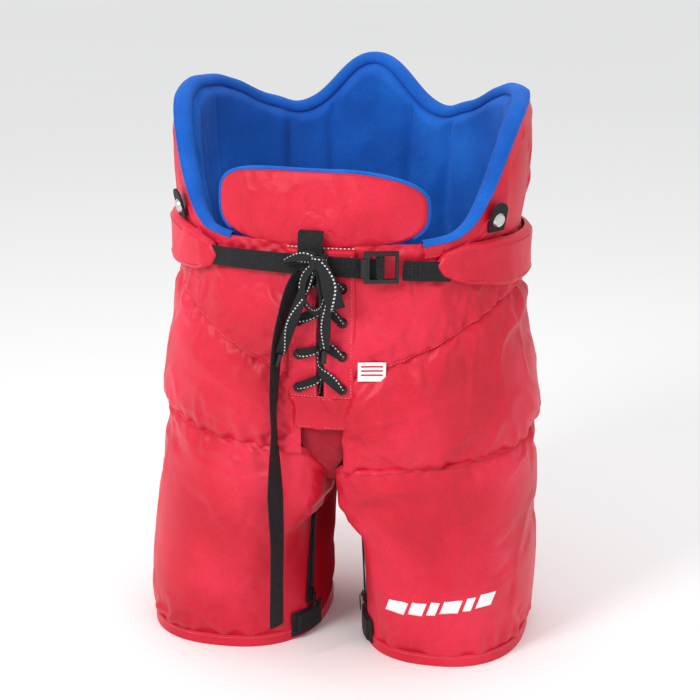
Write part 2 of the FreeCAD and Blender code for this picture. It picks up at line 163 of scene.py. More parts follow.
def front_phi(x, z):
    """The angle of the front point at x."""
    a = hip_level(np.asarray(z, float))[0]
    return -np.arccos(np.clip(np.asarray(x, float) / a, -1, 1))


def front_point(x, z, inset=0.0):
    return hip_point(front_phi(x, z), z, inset)


def front_out(x, z):
    """One millimetre straight out of the front."""
    return front_point(x, z, -1.0) - front_point(x, z, 0.0)


def leg_centre(side, z):
    return mix(TOP_CENTRE, HEM_CENTRE[side], smooth(1 - z / LEG_TOP))


def leg_radius(side, z, angle):
    dx, dy = np.cos(angle), np.sin(angle)
    a, front, back = hip_level(np.asarray(LEG_TOP))
    b = np.where(dy > 0, back, front)
    qa = (dx / a) ** 2 + (dy / b) ** 2
    qb = 2 * TOP_CENTRE * dx / a**2
    qc = (TOP_CENTRE / a) ** 2 - 1
    to_hip = (-qb + np.sqrt(qb * qb - 4 * qa * qc)) / (2 * qa)
    to_gap = (TOP_CENTRE - LEG_GAP / 2) / np.maximum(-dx, 1e-3)
    k = CORNER_SHARPNESS
    upper = np.where(dx < -0.02, (to_hip**-k + to_gap**-k) ** (-1 / k), to_hip)
    n = HEM_SQUARENESS
    hem = (np.abs(dx) / HEM_HALF_WIDTH[side]) ** n + (np.abs(dy) / HEM_HALF_DEPTH) ** n
    return mix(upper, hem ** (-1 / n), smooth(1 - z / LEG_TOP))


def leg_point(side, z, angle, inset=0.0):
    """On a leg: angle 0 points away from the other leg, 90 degrees to the back."""
    z, angle, inset = np.broadcast_arrays(np.asarray(z, float), angle, inset)
    radius = leg_radius(side, z, angle) - inset
    x = SIDES[side] * (leg_centre(side, z) + radius * np.cos(angle))
    return np.stack([x, radius * np.sin(angle), z], -1)


def leg_angle(phi):
    """The leg angle that meets a hip angle phi, given for the wearer's left."""
    p = hip_point(phi, LEG_TOP)
    return np.arctan2(p[..., 1], p[..., 0] - TOP_CENTRE)


def trouser_point(side, phi, z, inset=0.0, hold=0.0):
    """The outer surface of one half, on the hips above the leg's top and on the leg
    below it. phi is given for the wearer's left. Where hold is 1 it stays on the hips."""
    phi, z = np.broadcast_arrays(phi, np.asarray(z, float))
    angle = leg_angle(phi)
    centre = np.array([TOP_CENTRE, 0.0])
    upper = hip_point(phi, z, inset)
    reach = np.linalg.norm(hip_point(phi, LEG_TOP)[..., :2] - centre, axis=-1)
    ratio = leg_radius(side, LEG_TOP, angle) / reach
    ratio = mix(ratio, 1.0, np.maximum(smooth((z - LEG_TOP) / 55), hold))
    upper[..., :2] = centre + (upper[..., :2] - centre) * ratio[..., None]
    upper[..., 0] *= SIDES[side]
    lower = leg_point(side, np.minimum(z, LEG_TOP), angle, inset)
    keep = np.maximum((z >= LEG_TOP) * 1.0, hold)
    return mix(lower, upper, keep[..., None])


YOKE = [(0, 312), (37, 315), (62, 324), (85, 333), (112, 345), (143, 362), (173, 380), (195, 391)]


def yoke_height(phi):
    x = np.abs(183 * np.cos(phi))
    return np.interp(x, *zip(*YOKE))


THIGH_SEAM = {"right": [(-90, 236), (-40, 244), (0, 258), (90, 250)],
              "left": [(-90, 219), (-40, 226), (0, 237), (90, 243)]}


def thigh_seam(side, phi):
    return np.interp(np.degrees(phi), *zip(*THIGH_SEAM[side]))


BACK_RIM = [(0, 600), (14, 598), (28, 590), (38, 580), (46, 571), (58, 558), (72, 549),
            (86, 545), (98, 548), (105, 553)]
SIDE_RIM = [(-114, 450), (-92, 455), (-79, 468), (-70, 490), (-64, 504), (-56, 523),
            (-46, 541), (-33, 558), (-16, 572), (20, 584), (60, 582), (85, 572), (104, 557),
            (112, 553)]


def rim_height(phi):
    """Top edge over a hip angle: crown at the spine, a dip each side, then the guards."""
    p = hip_point(phi, 560.0)
    x, y = np.abs(p[..., 0]), p[..., 1]
    back = np.interp(x, *zip(*BACK_RIM))
    side = np.interp(y, *zip(*SIDE_RIM))
    return np.where((x < BACK_HALF) & (y > 0), back, np.where(y > -114, side, FRONT_TOP))


# ---- meshes ----


def lengths(points, axis):
    step = np.linalg.norm(np.diff(points, axis=axis), axis=-1)
    start = np.zeros_like(np.take(step, [0], axis=axis))
    return np.concatenate([start, np.cumsum(step, axis=axis)], axis=axis)


def new_object(name, data):
    obj = bpy.data.objects.new(name, data)
    bpy.context.collection.objects.link(obj)
    return obj


def mesh_object(name, points, faces, uvs=None):
    mesh = bpy.data.meshes.new(name)
    mesh.from_pydata([tuple(p) for p in world(points)], [], faces)
    mesh.polygons.foreach_set("use_smooth", [True] * len(mesh.polygons))
    if uvs is not None:
        layer = mesh.uv_layers.new(name="UVMap")
        index = np.zeros(len(mesh.loops), int)
        mesh.loops.foreach_get("vertex_index", index)
        layer.data.foreach_set("uv", np.asarray(uvs, np.float32)[index].ravel())
    return new_object(name, mesh)


def grid_faces(rows, columns, closed=False, flip=False, start=0):
    faces = []
    for i in range(rows - 1):
        for j in range(columns if closed else columns - 1):
            k = (j + 1) % columns
            quad = (i * columns + j, i * columns + k, (i + 1) * columns + k, (i + 1) * columns + j)
            quad = tuple(start + q for q in quad)
            faces.append(quad[::-1] if flip else quad)
    return faces


def grid_object(name, points, closed=False, flip=False):
    """A sheet from an array of rows by columns by 3; its UVs are metres of cloth."""
    rows, columns = points.shape[:2]
    across = lengths(points, 1) / 1000
    down = lengths(points, 0) / 1000
    uvs = np.stack([across, down], -1).reshape(-1, 2)
    faces = grid_faces(rows, columns, closed, flip)
    return mesh_object(name, points.reshape(-1, 3), faces, uvs)


def grid_normals(points, closed=False):
    if closed:
        across = np.roll(points, -1, 1) - np.roll(points, 1, 1)
    else:
        across = np.gradient(points, axis=1)
    return unit(np.cross(across, np.gradient(points, axis=0)))


def facing(normals, away):
    """The normals, turned round wherever they point against away."""
    return np.where(np.sum(normals * away, -1)[..., None] < 0, -normals, normals)


def raised(name, points, thick, edge, out, foot=0.4):
    """A padded or stitched-on patch over a grid of base points: its face stands off by
    thick, rounds down over edge millimetres, and its skirt reaches foot below the base.
    out is a point or points that the face looks away from."""
    normals = facing(grid_normals(points), points - out)
    down, across = lengths(points, 0), lengths(points, 1)
    near = np.minimum(down, down[-1:] - down)
    near = np.minimum(near, np.minimum(across, across[:, -1:] - across))
    lift = -foot + (thick + foot) * np.sqrt(1 - (1 - np.clip(near / edge, 0, 1)) ** 2)
    return grid_object(name, points + normals * lift[..., None])


def catmull(points, count):
    """A smooth run of count points through a few stations."""
    points = np.asarray(points, float)
    ends = [2 * points[0] - points[1], *points, 2 * points[-1] - points[-2]]
    ends = np.array(ends)
    t = np.linspace(0, len(points) - 1, count)
    k = np.minimum(t.astype(int), len(points) - 2)
    f = (t - k)[:, None]
    p0, p1, p2, p3 = ends[k], ends[k + 1], ends[k + 2], ends[k + 3]
    value = 2 * p1 + (p2 - p0) * f + (2 * p0 - 5 * p1 + 4 * p2 - p3) * f**2
    return 0.5 * (value + (3 * p1 - p0 - 3 * p2 + p3) * f**3)


def heading(centre, closed=False):
    """The way a line runs at each of its points."""
    if closed:
        return unit(np.roll(centre, -1, 0) - np.roll(centre, 1, 0))
    return unit(np.gradient(centre, axis=0))


def swept(name, rings, closed=False, uvs=None):
    """A skin over the lines in rings, closed at both ends or joined end to end."""
    points = np.stack(rings, 1)
    count, size = points.shape[:2]
    faces = grid_faces(count, size, closed=True)
    last = (count - 1) * size
    if closed:
        faces += [(last + j, last + (j + 1) % size, (j + 1) % size, j) for j in range(size)]
    else:
        faces += [tuple(range(size))[::-1], tuple(range(last, last + size))]
    return mesh_object(name, points.reshape(-1, 3), faces, uvs)


RIBBON_SECTION = [(-1, -0.3), (-0.94, -0.5), (-0.5, -0.5), (0, -0.5), (0.5, -0.5), (0.94, -0.5),
                  (1, -0.3), (1, 0.3), (0.94, 0.5), (0.5, 0.5), (0, 0.5), (-0.5, 0.5),
                  (-0.94, 0.5), (-1, 0.3)]


def ribbon(name, centre, across, width, thick, closed=False):
    """A flat band along centre, with across giving the way its width runs. Its UVs are
    -1 to 1 over the width, and metres along."""
    centre = np.asarray(centre, float)
    count = len(centre)
    across = unit(np.broadcast_to(np.asarray(across, float), (count, 3)))
    along = heading(centre, closed)
    across = unit(across - along * np.sum(across * along, -1, keepdims=True))
    out = np.cross(along, across)
    width = np.broadcast_to(np.asarray(width, float), (count,))[:, None]
    rings = [centre + across * width / 2 * u + out * thick * w for u, w in RIBBON_SECTION]
    shape = (count, len(RIBBON_SECTION))
    uvs = np.stack([np.broadcast_to([u for u, _ in RIBBON_SECTION], shape),
                    np.broadcast_to(lengths(centre, 0)[:, None] / 1000, shape)], -1)
    return swept(name, rings, closed, uvs.reshape(-1, 2))


def tube(name, centre, radius, sides):
    along = heading(centre)
    side = unit(np.cross(along, [0.13, 0.21, 0.97]))
    up = np.cross(side, along)
    turns = np.linspace(0, 2 * math.pi, sides, endpoint=False)
    return swept(name, [centre + radius * (side * math.cos(t) + up * math.sin(t)) for t in turns])


def stitches(name, line, out, pitch=3.4, long=2.3, thick=0.42):
    """A row of thread stitches along a line, lifted a little along out."""
    line = np.asarray(line, float)
    run = lengths(line, 0)
    starts = np.arange(pitch / 2, run[-1] - long, pitch)
    at = lambda s: np.stack([np.interp(s, run, line[:, i]) for i in range(3)], -1)
    here, ahead = at(starts), at(starts + long)
    lift = np.asarray(out, float)
    if lift.ndim == 2:
        lift = np.stack([np.interp(starts, run, lift[:, i]) for i in range(3)], -1)
    lift = unit(np.broadcast_to(lift, here.shape))
    along = unit(ahead - here)
    side = unit(np.cross(along, lift))
    points, faces = [], []
    for a, b, s, n in zip(here, ahead, side, lift):
        base = len(points)
        for centre, scale in ((a, 0.35), (mix(a, b, 0.25), 1), (mix(a, b, 0.75), 1), (b, 0.35)):
            for u, w in ((-1, 0), (0, 1), (1, 0), (0, -1)):
                points.append(centre + (s * u + n * w) * thick * scale)
        faces += grid_faces(4, 4, closed=True, start=base)
        faces += [tuple(base + q for q in (3, 2, 1, 0)), tuple(base + q for q in (12, 13, 14, 15))]
    return mesh_object(name, np.array(points), faces)


# ---- cloth ----


def coordinates(obj):
    flat = np.zeros(len(obj.data.vertices) * 3)
    obj.data.vertices.foreach_get("co", flat)
    return flat.reshape(-1, 3)


def set_coordinates(obj, points):
    obj.data.vertices.foreach_set("co", np.asarray(points).ravel())
    obj.data.update()


def puff(obj, pinned, pressure, slack, cap, out, frames=SIM_FRAMES):
    """Sewn fabric: pinned vertices hold, the cloth between them is cut slack larger and
    pushed out by the padding under it. No point moves by more than cap metres, or sinks
    against out, its outward normal, into that padding."""
    rest = coordinates(obj)
    group = obj.vertex_groups.new(name="seam")
    group.add([int(i) for i in pinned], 1.0, "REPLACE")
    modifier = obj.modifiers.new("cloth", "CLOTH")
    settings = modifier.settings
    settings.vertex_group_mass = "seam"
    settings.quality = 5
    settings.mass = 0.12
    settings.tension_stiffness = settings.compression_stiffness = 25
    settings.shear_stiffness = 8
    settings.bending_stiffness = 0.12
    settings.air_damping = 4
    settings.use_pressure = True
    settings.uniform_pressure_force = pressure
    settings.shrink_min = -slack
    settings.effector_weights.gravity = 0
    modifier.point_cache.frame_end = frames
    scene = bpy.context.scene
    for step in range(1, frames + 1):
        scene.frame_set(step)
    shaped = obj.evaluated_get(bpy.context.evaluated_depsgraph_get())
    result = np.zeros(len(rest) * 3)
    shaped.data.vertices.foreach_get("co", result)
    move = result.reshape(-1, 3) - rest
    far = np.linalg.norm(move, axis=1, keepdims=True)
    move = move / np.maximum(far, 1e-9) * cap * np.tanh(far / cap)
    out = out.reshape(-1, 3)
    sunk = np.sum(move * out, 1, keepdims=True)
    move = move + out * np.maximum(-0.0004 - sunk, 0)
    obj.modifiers.remove(modifier)
    obj.vertex_groups.remove(group)
    set_coordinates(obj, rest + move)
    scene.frame_set(1)


def border(rows, columns, closed=False, width=1):
    index = np.arange(rows * columns).reshape(rows, columns)
    parts = [index[:width], index[-width:]]
    if not closed:
        parts += [index[:, :width], index[:, -width:]]
    return np.unique(np.concatenate([p.ravel() for p in parts]))


def crease(points, normals, seed, height, scale, stretch=(1, 1, 1), fade=None):
    """Soft wrinkles: ridged noise pushed along the normals, in millimetres."""
    flat = points.reshape(-1, 3) * np.asarray(stretch) / scale
    offset = Vector((seed * 7.3, seed * 3.1, seed * 5.7))
    ridge = [1 - abs(noise.noise(Vector(p) + offset)) * 2 for p in flat]
    value = np.array(ridge).reshape(points.shape[:2]) ** 3 * height
    if fade is not None:
        value = value * fade
    return points + normals * value[..., None]


def noise_at(places):
    """Blender's noise at each point of an array."""
    values = [noise.noise(Vector(p)) for p in places.reshape(-1, 3)]
    return np.array(values).reshape(places.shape[:-1])


def puckers(points, normals, seed, height, pitch=9.0, reach=16.0):
    """Short gathers square to the seams along a grid's top and bottom rows."""
    down, across = lengths(points, 0), lengths(points, 1)
    near = np.minimum(down, down[-1:] - down)
    fade = np.exp(-((near - 5) / reach) ** 2) * smooth(near / 5)
    flat = np.stack([across / pitch, down / pitch * 0.22, np.full(down.shape, seed * 4.7)], -1)
    wave = noise_at(flat)
    return points + normals * (wave * 2 * height * fade)[..., None]


def gathers(points, normals, centre, count, reach, height, seed=0.0):
    """Wrinkles that spread out from one place on the front (x, z)."""
    dx, dz = points[..., 0] - centre[0], points[..., 2] - centre[1]
    far = np.hypot(dx, dz)
    turn = np.arctan2(dz, dx) * count / math.pi
    wave = noise_at(np.stack([turn, far / 70, np.full(far.shape, seed)], -1))
    ridge = (1 - np.abs(wave) * 2.2) ** 2
    fade = np.exp(-(far / reach) ** 2) * smooth(far / 12) * (points[..., 1] < 0)
    return points + normals * (ridge * height * fade)[..., None]


def refine(obj, levels=1, thick=0.0):
    if thick:
        solid = obj.modifiers.new("thickness", "SOLIDIFY")
        solid.thickness = thick / 1000
        solid.offset = -1
    if levels:
        subdivision = obj.modifiers.new("smooth", "SUBSURF")
        subdivision.levels = subdivision.render_levels = levels
    return obj


# ---- materials ----


class Shade:
    """A small helper for building one node material."""

    def __init__(self, name, **values):
        self.material = bpy.data.materials.new(name)
        self.material.use_nodes = True
        self.tree = self.material.node_tree
        self.shader = self.tree.nodes["Principled BSDF"]
        for key, value in values.items():
            self.shader.inputs[key.replace("_", " ")].default_value = value
        self.where = self.add("ShaderNodeTexCoord")

    def add(self, kind, **settings):
        node = self.tree.nodes.new(kind)
        for key, value in settings.items():
            if key in node.inputs:
                node.inputs[key].default_value = value
            else:
                setattr(node, key, value)
        return node

    def link(self, start, end):
        self.tree.links.new(start, end)

    def math(self, operation, *values):
        node = self.add("ShaderNodeMath", operation=operation)
        for socket, value in zip(node.inputs, values):
            if isinstance(value, (int, float)):
                socket.default_value = value
            else:
                self.link(value, socket)
        return node.outputs[0]

    def noise(self, scale, detail):
        node = self.add("ShaderNodeTexNoise", Scale=scale, Detail=detail)
        self.link(self.where.outputs["Object"], node.inputs["Vector"])
        return node.outputs["Fac"]

    def split(self, vector="UV"):
        node = self.add("ShaderNodeSeparateXYZ")
        self.link(self.where.outputs[vector], node.inputs[0])
        return node.outputs

    def wave(self, value, length):
        """A sine of a coordinate in metres, with the wavelength in millimetres."""
        turned = self.math("MULTIPLY", value, 2 * math.pi * 1000 / length)
        return self.math("SINE", turned)

    def colours(self, factor, stops):
        ramp = self.add("ShaderNodeValToRGB")
        elements = ramp.color_ramp.elements
        while len(elements) < len(stops):
            elements.new(0.5)
        for element, (place, colour) in zip(elements, stops):
            element.position = place
            element.color = (*colour, 1)
        self.link(factor, ramp.inputs[0])
        return ramp.outputs[0]

    def paint(self, colour):
        self.link(colour, self.shader.inputs["Base Color"])

    def rough(self, factor, low, high):
        node = self.add("ShaderNodeMapRange")
        node.inputs["To Min"].default_value = low
        node.inputs["To Max"].default_value = high
        self.link(factor, node.inputs["Value"])
        self.link(node.outputs[0], self.shader.inputs["Roughness"])

    def bump(self, *layers):
        """Layers of (height socket, strength, distance in millimetres)."""
        normal = None
        for height, strength, distance in layers:
            node = self.add("ShaderNodeBump", Strength=strength, Distance=distance / 1000)
            self.link(height, node.inputs["Height"])
            if normal is not None:
                self.link(normal, node.inputs["Normal"])
            normal = node.outputs[0]
        self.link(normal, self.shader.inputs["Normal"])


def nylon(name, dark, base, light, roughness=0.4, sheen=0.08, tint=(1, 0.35, 0.45, 1)):
    """Plain-woven satin nylon: crossed threads, slow shade changes and small slubs."""
    s = Shade(name, Sheen_Weight=sheen, Sheen_Roughness=0.4, Sheen_Tint=tint,
              Specular_IOR_Level=0.3)
    u, v, _ = s.split()
    weave = s.math("MULTIPLY", s.wave(u, 1.1), s.wave(v, 0.9))
    slow = s.noise(9, 4)
    fine = s.noise(420, 2)
    tone = s.math("ADD", slow, s.math("MULTIPLY", s.math("SUBTRACT", fine, 0.5), 0.25))
    s.paint(s.colours(tone, [(0.25, dark), (0.5, base), (0.78, light)]))
    s.rough(fine, roughness - 0.06, roughness + 0.1)
    s.bump((weave, 0.22, 0.12), (s.noise(70, 5), 0.28, 0.7), (s.noise(950, 2), 0.12, 0.1))
    return s.material


def knit(name, dark, base, light, sheen=0.14, tint=(0.35, 0.6, 1, 1)):
    """Brushed jersey over foam: fine ribs with a short nap."""
    s = Shade(name, Sheen_Weight=sheen, Sheen_Roughness=0.6, Sheen_Tint=tint,
              Specular_IOR_Level=0.2)
    u, v, _ = s.split()
    ribs = s.math("ADD", s.wave(u, 1.5), s.math("MULTIPLY", s.wave(v, 1.1), 0.6))
    nap = s.noise(700, 3)
    tone = s.math("ADD", s.noise(14, 4), s.math("MULTIPLY", s.math("SUBTRACT", nap, 0.5), 0.5))
    s.paint(s.colours(tone, [(0.25, dark), (0.5, base), (0.8, light)]))
    s.rough(nap, 0.8, 0.95)
    s.bump((ribs, 0.22, 0.15), (nap, 0.3, 0.2), (s.noise(60, 3), 0.15, 0.8))
    return s.material


def webbing(name, vector="UV"):
    """Black nylon webbing: ribs along it, crossed by the weft."""
    s = Shade(name, Roughness=0.6, Sheen_Weight=0.03, Sheen_Roughness=0.4,
              Specular_IOR_Level=0.22)
    u, v, w = s.split(vector)
    along = v if vector == "UV" else w
    ribs = s.wave(along, 1.5)
    if vector == "UV":
        ribs = s.math("MULTIPLY", ribs, s.math("SINE", s.math("MULTIPLY", u, 22)))
    s.paint(s.colours(s.noise(500, 3), [(0.3, (0.003, 0.003, 0.004)),
                                        (0.7, (0.016, 0.016, 0.018))]))
    s.bump((ribs, 0.7, 0.35), (s.noise(900, 2), 0.2, 0.1))
    return s.material


def lacing(name):
    """Flat black lace with a dotted white tracer that wanders over its width."""
    s = Shade(name, Roughness=0.6, Sheen_Weight=0.03, Specular_IOR_Level=0.22)
    u, v, _ = s.split()
    beside = s.math("SUBTRACT", u, s.math("MULTIPLY", s.wave(v, 85), 0.75))
    tracer = s.math("LESS_THAN", s.math("ABSOLUTE", beside), 0.11)
    dashes = s.math("GREATER_THAN", s.wave(v, 3.6), 0.1)
    mask = s.math("MULTIPLY", tracer, dashes)
    s.paint(s.colours(mask, [(0.0, (0.010, 0.010, 0.011)), (1.0, (0.62, 0.62, 0.64))]))
    plait = s.math("MULTIPLY", s.wave(v, 1.3), s.math("SINE", s.math("MULTIPLY", u, 16)))
    s.bump((plait, 0.6, 0.3), (s.noise(900, 2), 0.2, 0.1))
    return s.material


def moulded(name, dark, light, roughness, metallic=0.0):
    """Moulded plastic or metal with a fine grain, handling marks and softer patches."""
    s = Shade(name, Metallic=metallic, Specular_IOR_Level=0.35)
    marks = s.noise(260, 4)
    s.paint(s.colours(s.noise(60, 4), [(0.3, dark), (0.7, light)]))
    s.rough(marks, roughness - 0.08, roughness + 0.12)
    s.bump((marks, 0.15, 0.1), (s.noise(1400, 2), 0.1, 0.05))
    return s.material


def matte(name, dark, light):
    """Brushed stretch cloth with almost no shine."""
    s = Shade(name, Specular_IOR_Level=0.04, IOR=1.2)
    nap = s.noise(600, 3)
    s.paint(s.colours(s.noise(12, 4), [(0.3, dark), (0.7, light)]))
    s.rough(nap, 0.85, 1.0)
    s.bump((nap, 0.3, 0.2), (s.noise(50, 4), 0.3, 0.8))
    return s.material


def hooks(name):
    """Hook-and-loop tape: a dense field of small tufts."""
    s = Shade(name, Roughness=0.8, Sheen_Weight=0.04, Specular_IOR_Level=0.2)
    tufts = s.add("ShaderNodeTexVoronoi", Scale=700)
    s.link(s.where.outputs["Object"], tufts.inputs["Vector"])
    s.paint(s.colours(tufts.outputs["Distance"],
                      [(0.1, (0.03, 0.03, 0.032)), (0.7, (0.005, 0.005, 0.006))]))
    s.bump((tufts.outputs["Distance"], 0.8, 0.4))
    return s.material


def bars_label(name):
    """A plain woven label: white with thin red stripes along it."""
    s = Shade(name, Roughness=0.65, Specular_IOR_Level=0.3)
    u, v, _ = s.split()
    stripes = s.math("GREATER_THAN", s.math("SINE", s.math("MULTIPLY", v, 14)), 0.2)
    inside = s.math("MULTIPLY", s.math("LESS_THAN", s.math("ABSOLUTE", u), 0.78),
                    s.math("LESS_THAN", s.math("ABSOLUTE", v), 0.66))
    ends = s.math("MULTIPLY", stripes, inside)
    thread = s.noise(900, 2)
    white = s.colours(thread, [(0.3, (0.72, 0.70, 0.70)), (0.7, (0.9, 0.89, 0.9))])
    red = s.colours(thread, [(0.3, (0.5, 0.01, 0.03)), (0.7, (0.7, 0.03, 0.06))])
    both = s.add("ShaderNodeMix", data_type="RGBA")
    s.link(ends, both.inputs["Factor"])
    s.link(white, both.inputs["A"])
    s.link(red, both.inputs["B"])
    s.paint(both.outputs["Result"])
    s.bump((thread, 0.4, 0.15))
    return s.material


RED = nylon("red_nylon", (0.40, 0.003, 0.014), (0.58, 0.008, 0.031), (0.74, 0.024, 0.066))
RED_PAD = nylon("red_nylon_pad", (0.42, 0.003, 0.015), (0.60, 0.009, 0.033), (0.76, 0.026, 0.070))
GUSSET_RED = knit("gusset_knit", (0.22, 0.003, 0.010), (0.34, 0.006, 0.020), (0.46, 0.014, 0.032),
                  sheen=0.15, tint=(1, 0.5, 0.5, 1))
# A darker, matte stand-in for the red nylon on the inner leg walls: painted shade for the shade
# that falls between the legs.
SHADED_INNER_RED = matte("inner_leg_painted_shade", (0.34, 0.004, 0.014), (0.48, 0.008, 0.026))
BLUE = knit("blue_jersey", (0.002, 0.055, 0.30), (0.003, 0.085, 0.42), (0.012, 0.14, 0.58))
ROYAL = nylon("royal_lining", (0.004, 0.030, 0.20), (0.010, 0.055, 0.36), (0.03, 0.10, 0.52),
              roughness=0.38, sheen=0.2, tint=(0.6, 0.7, 1, 1))
WEB = webbing("black_webbing")
WEB_OBJECT = webbing("black_webbing_tab", "Object")
LACE = lacing("black_lace")
PLASTIC = moulded("black_acetal", (0.006, 0.006, 0.007), (0.016, 0.016, 0.018), 0.36)
ENAMEL = moulded("black_enamel", (0.010, 0.010, 0.011), (0.03, 0.03, 0.033), 0.28, metallic=0.6)
NICKEL = moulded("nickel", (0.50, 0.49, 0.48), (0.66, 0.65, 0.64), 0.3, metallic=1.0)
THREAD = moulded("pink_thread", (0.62, 0.08, 0.12), (0.80, 0.20, 0.24), 0.55)
RED_THREAD = moulded("red_thread", (0.38, 0.008, 0.022), (0.56, 0.03, 0.05), 0.55)
BLUE_THREAD = moulded("blue_thread", (0.004, 0.05, 0.22), (0.01, 0.09, 0.36), 0.6)
WHITE_THREAD = moulded("white_thread", (0.65, 0.5, 0.52), (0.85, 0.75, 0.76), 0.6)
BLACK_THREAD = moulded("black_thread", (0.012, 0.012, 0.013), (0.04, 0.04, 0.042), 0.6)
WHITE_PRINT = moulded("white_print", (0.76, 0.76, 0.76), (0.9, 0.9, 0.9), 0.45)
HOOK = hooks("hook_and_loop")
FOAM = knit("grey_foam", (0.40, 0.40, 0.39), (0.55, 0.55, 0.54), (0.66, 0.66, 0.65),
            sheen=0.1, tint=(1, 1, 1, 1))
PLATE = moulded("plate_plastic", (0.62, 0.62, 0.60), (0.75, 0.75, 0.73), 0.4)
LABEL = bars_label("woven_label")


def finish(obj, material, slot, body=None, replaces=()):
    """Gives a piece its material and its body, and hides the CAD nodes it stands for. slot is not
    used.
    """
    obj.data.materials.clear()
    obj.data.materials.append(material)
    if replaces:
        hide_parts(*replaces)
    if body:
        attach(obj, body)
    return obj


def declare_sheet(points, closed=False):
    """Measures a sewn sheet's size along its own grid, in millimetres, as no pattern for it is
    known.
    Nothing is done with the result."""
    loop = np.concatenate([points, points[:, :1]], 1) if closed else points
    across, down = lengths(loop, 1)[:, -1].max(), lengths(loop, 0)[-1].max()


def thread(material, slot, body, *row, **sizes):
    """A row of stitches, with its thread and body. slot is not used."""
    finish(stitches(*row, **sizes), material, slot, body)


# ---- red shell ----


def edge_fade(rows, columns, reach, closed=False):
    """0 along the seams of a grid, 1 from reach cells inside them."""
    i = np.minimum(np.arange(rows), np.arange(rows)[::-1])[:, None]
    fade = np.repeat(i / reach, columns, 1)
    if not closed:
        j = np.minimum(np.arange(columns), np.arange(columns)[::-1])[None]
        fade = np.minimum(fade, j / reach)
    return smooth(fade)


def outward(points, closed=False):
    """Grid normals, or a single line's level ones, that face away from the body's axis."""
    if len(points) < 2:
        return unit(points * (1, 1, 0))
    return facing(grid_normals(points, closed), points * (1, 1, 0))


def make_seat():
    rows, columns = 34, 300
    phi = np.radians(np.linspace(-89, 269, columns))
    t = np.linspace(0, 1, rows)[:, None]
    z = mix(FRONT_TOP, yoke_height(phi), t)
    fade = edge_fade(rows, columns, 3)
    points = hip_point(phi, z, 2.4 - 1.6 * fade)
    normals = outward(points)
    points = crease(points, normals, 3, 2.2, 30, (1, 1, 0.5), fade)
    points = puckers(points, normals, 4, 2.6, 8.5, 20)
    points = gathers(points, normals, (0, 335), 11, 85, 3.6, 2.0)
    seat = grid_object("seat_cloth", points, flip=True)
    flat = points.reshape(-1, 3)
    belt = (np.abs(flat[:, 2] - BELT_HEIGHT) < 8) | (
        (np.abs(flat[:, 0]) > 118) & (np.abs(flat[:, 2] - 427) < 24))
    held = np.union1d(border(rows, columns), np.flatnonzero(belt))
    puff(seat, held, 2.2, 0.06, 0.007, normals)
    finish(refine(seat, 1, CLOTH_THICK), RED, "red_nylon", "pelvis", ["seat_shell"])
    declare_sheet(points)
    return seat


FRONT_EDGE = -math.acos(21 / 197)
HALF_COLUMNS = 124


def half_columns():
    return np.linspace(FRONT_EDGE, -FRONT_EDGE, HALF_COLUMNS)


def make_thigh_panel(side):
    rows = 30
    phi = half_columns()
    t = np.linspace(0, 1, rows)[:, None]
    z = mix(yoke_height(phi) + 4, thigh_seam(side, phi) - 5, t)
    fade = edge_fade(rows, HALF_COLUMNS, 3)
    hold = np.where(np.cos(phi) > 0, smooth(1.25 - (np.abs(FRONT_EDGE) - np.abs(phi)) * 3.4), 1)
    tuck = 2.2 * ((t < 0.02) | (t > 0.98))
    points = trouser_point(side, phi, z, 2.4 - 2.2 * fade + tuck, hold)
    seed = 11 if side == "right" else 17
    normals = outward(points)
    points = crease(points, normals, seed, 3.2, 38, (1, 1, 0.6), fade)
    points = puckers(points, normals, seed, 2.8, 10, 18)
    points = gathers(points, normals, (SIDES[side] * 14, 262), 13, 95, 5.0, seed)
    panel = grid_object(f"thigh_panel_cloth_{side}", points, flip=side == "left")
    puff(panel, border(rows, HALF_COLUMNS), 3.2, 0.06, 0.011, normals)
    finish(refine(panel, 1, CLOTH_THICK), RED, "red_nylon", None, [f"thigh_panel_{side}"])
    declare_sheet(points)
    bend(panel, HIP_BEND)
    return panel


def leg_columns(side):
    """Leg angles once round, and the height of the thigh seam over each."""
    phi = half_columns()
    outer = leg_angle(phi)
    inner = np.linspace(outer[-1], outer[0] + 2 * math.pi, 40)[1:-1]
    seam = thigh_seam(side, phi)
    dip = 48 * np.sin(np.linspace(0, math.pi, 40)) ** 0.6
    across = (np.linspace(seam[-1], seam[0], 40) - dip)[1:-1]
    return np.concatenate([outer, inner]), np.concatenate([seam, across])


HEM_BAND = 13.0
ZIP_ANGLE = math.radians(214)
CROTCH_GAP = [(0, 24), (136, 24), (158, 12), (176, 3), (205, 3), (225, 7), (243, 15), (300, 23)]


def crotch_gap(z):
    """Half the gap left between the two legs' cloth at a height."""
    return smooth_curve(z, CROTCH_GAP)


def smooth_curve(z, stations):
    at, value = zip(*stations)
    k = np.clip(np.searchsorted(at, z, side="right") - 1, 0, len(at) - 2)
    at, value = np.array(at, float), np.array(value, float)
    return mix(value[k], value[k + 1], smooth((z - at[k]) / (at[k + 1] - at[k])))


def crotch_bulge(side, points):
    """Fills a leg's cloth out towards the other leg just below the crotch."""
    local = points[..., 0] * SIDES[side]
    z = points[..., 2]
    centre = leg_centre(side, z)
    gap = LEG_GAP / 2
    stretch = np.maximum((centre - crotch_gap(z)) / (centre - gap), 1.0)
    inner = smooth((centre - local) / 60)
    moved = centre - (centre - local) * (1 + (stretch - 1) * inner)
    result = points.copy()
    result[..., 0] = moved * SIDES[side]
    return result


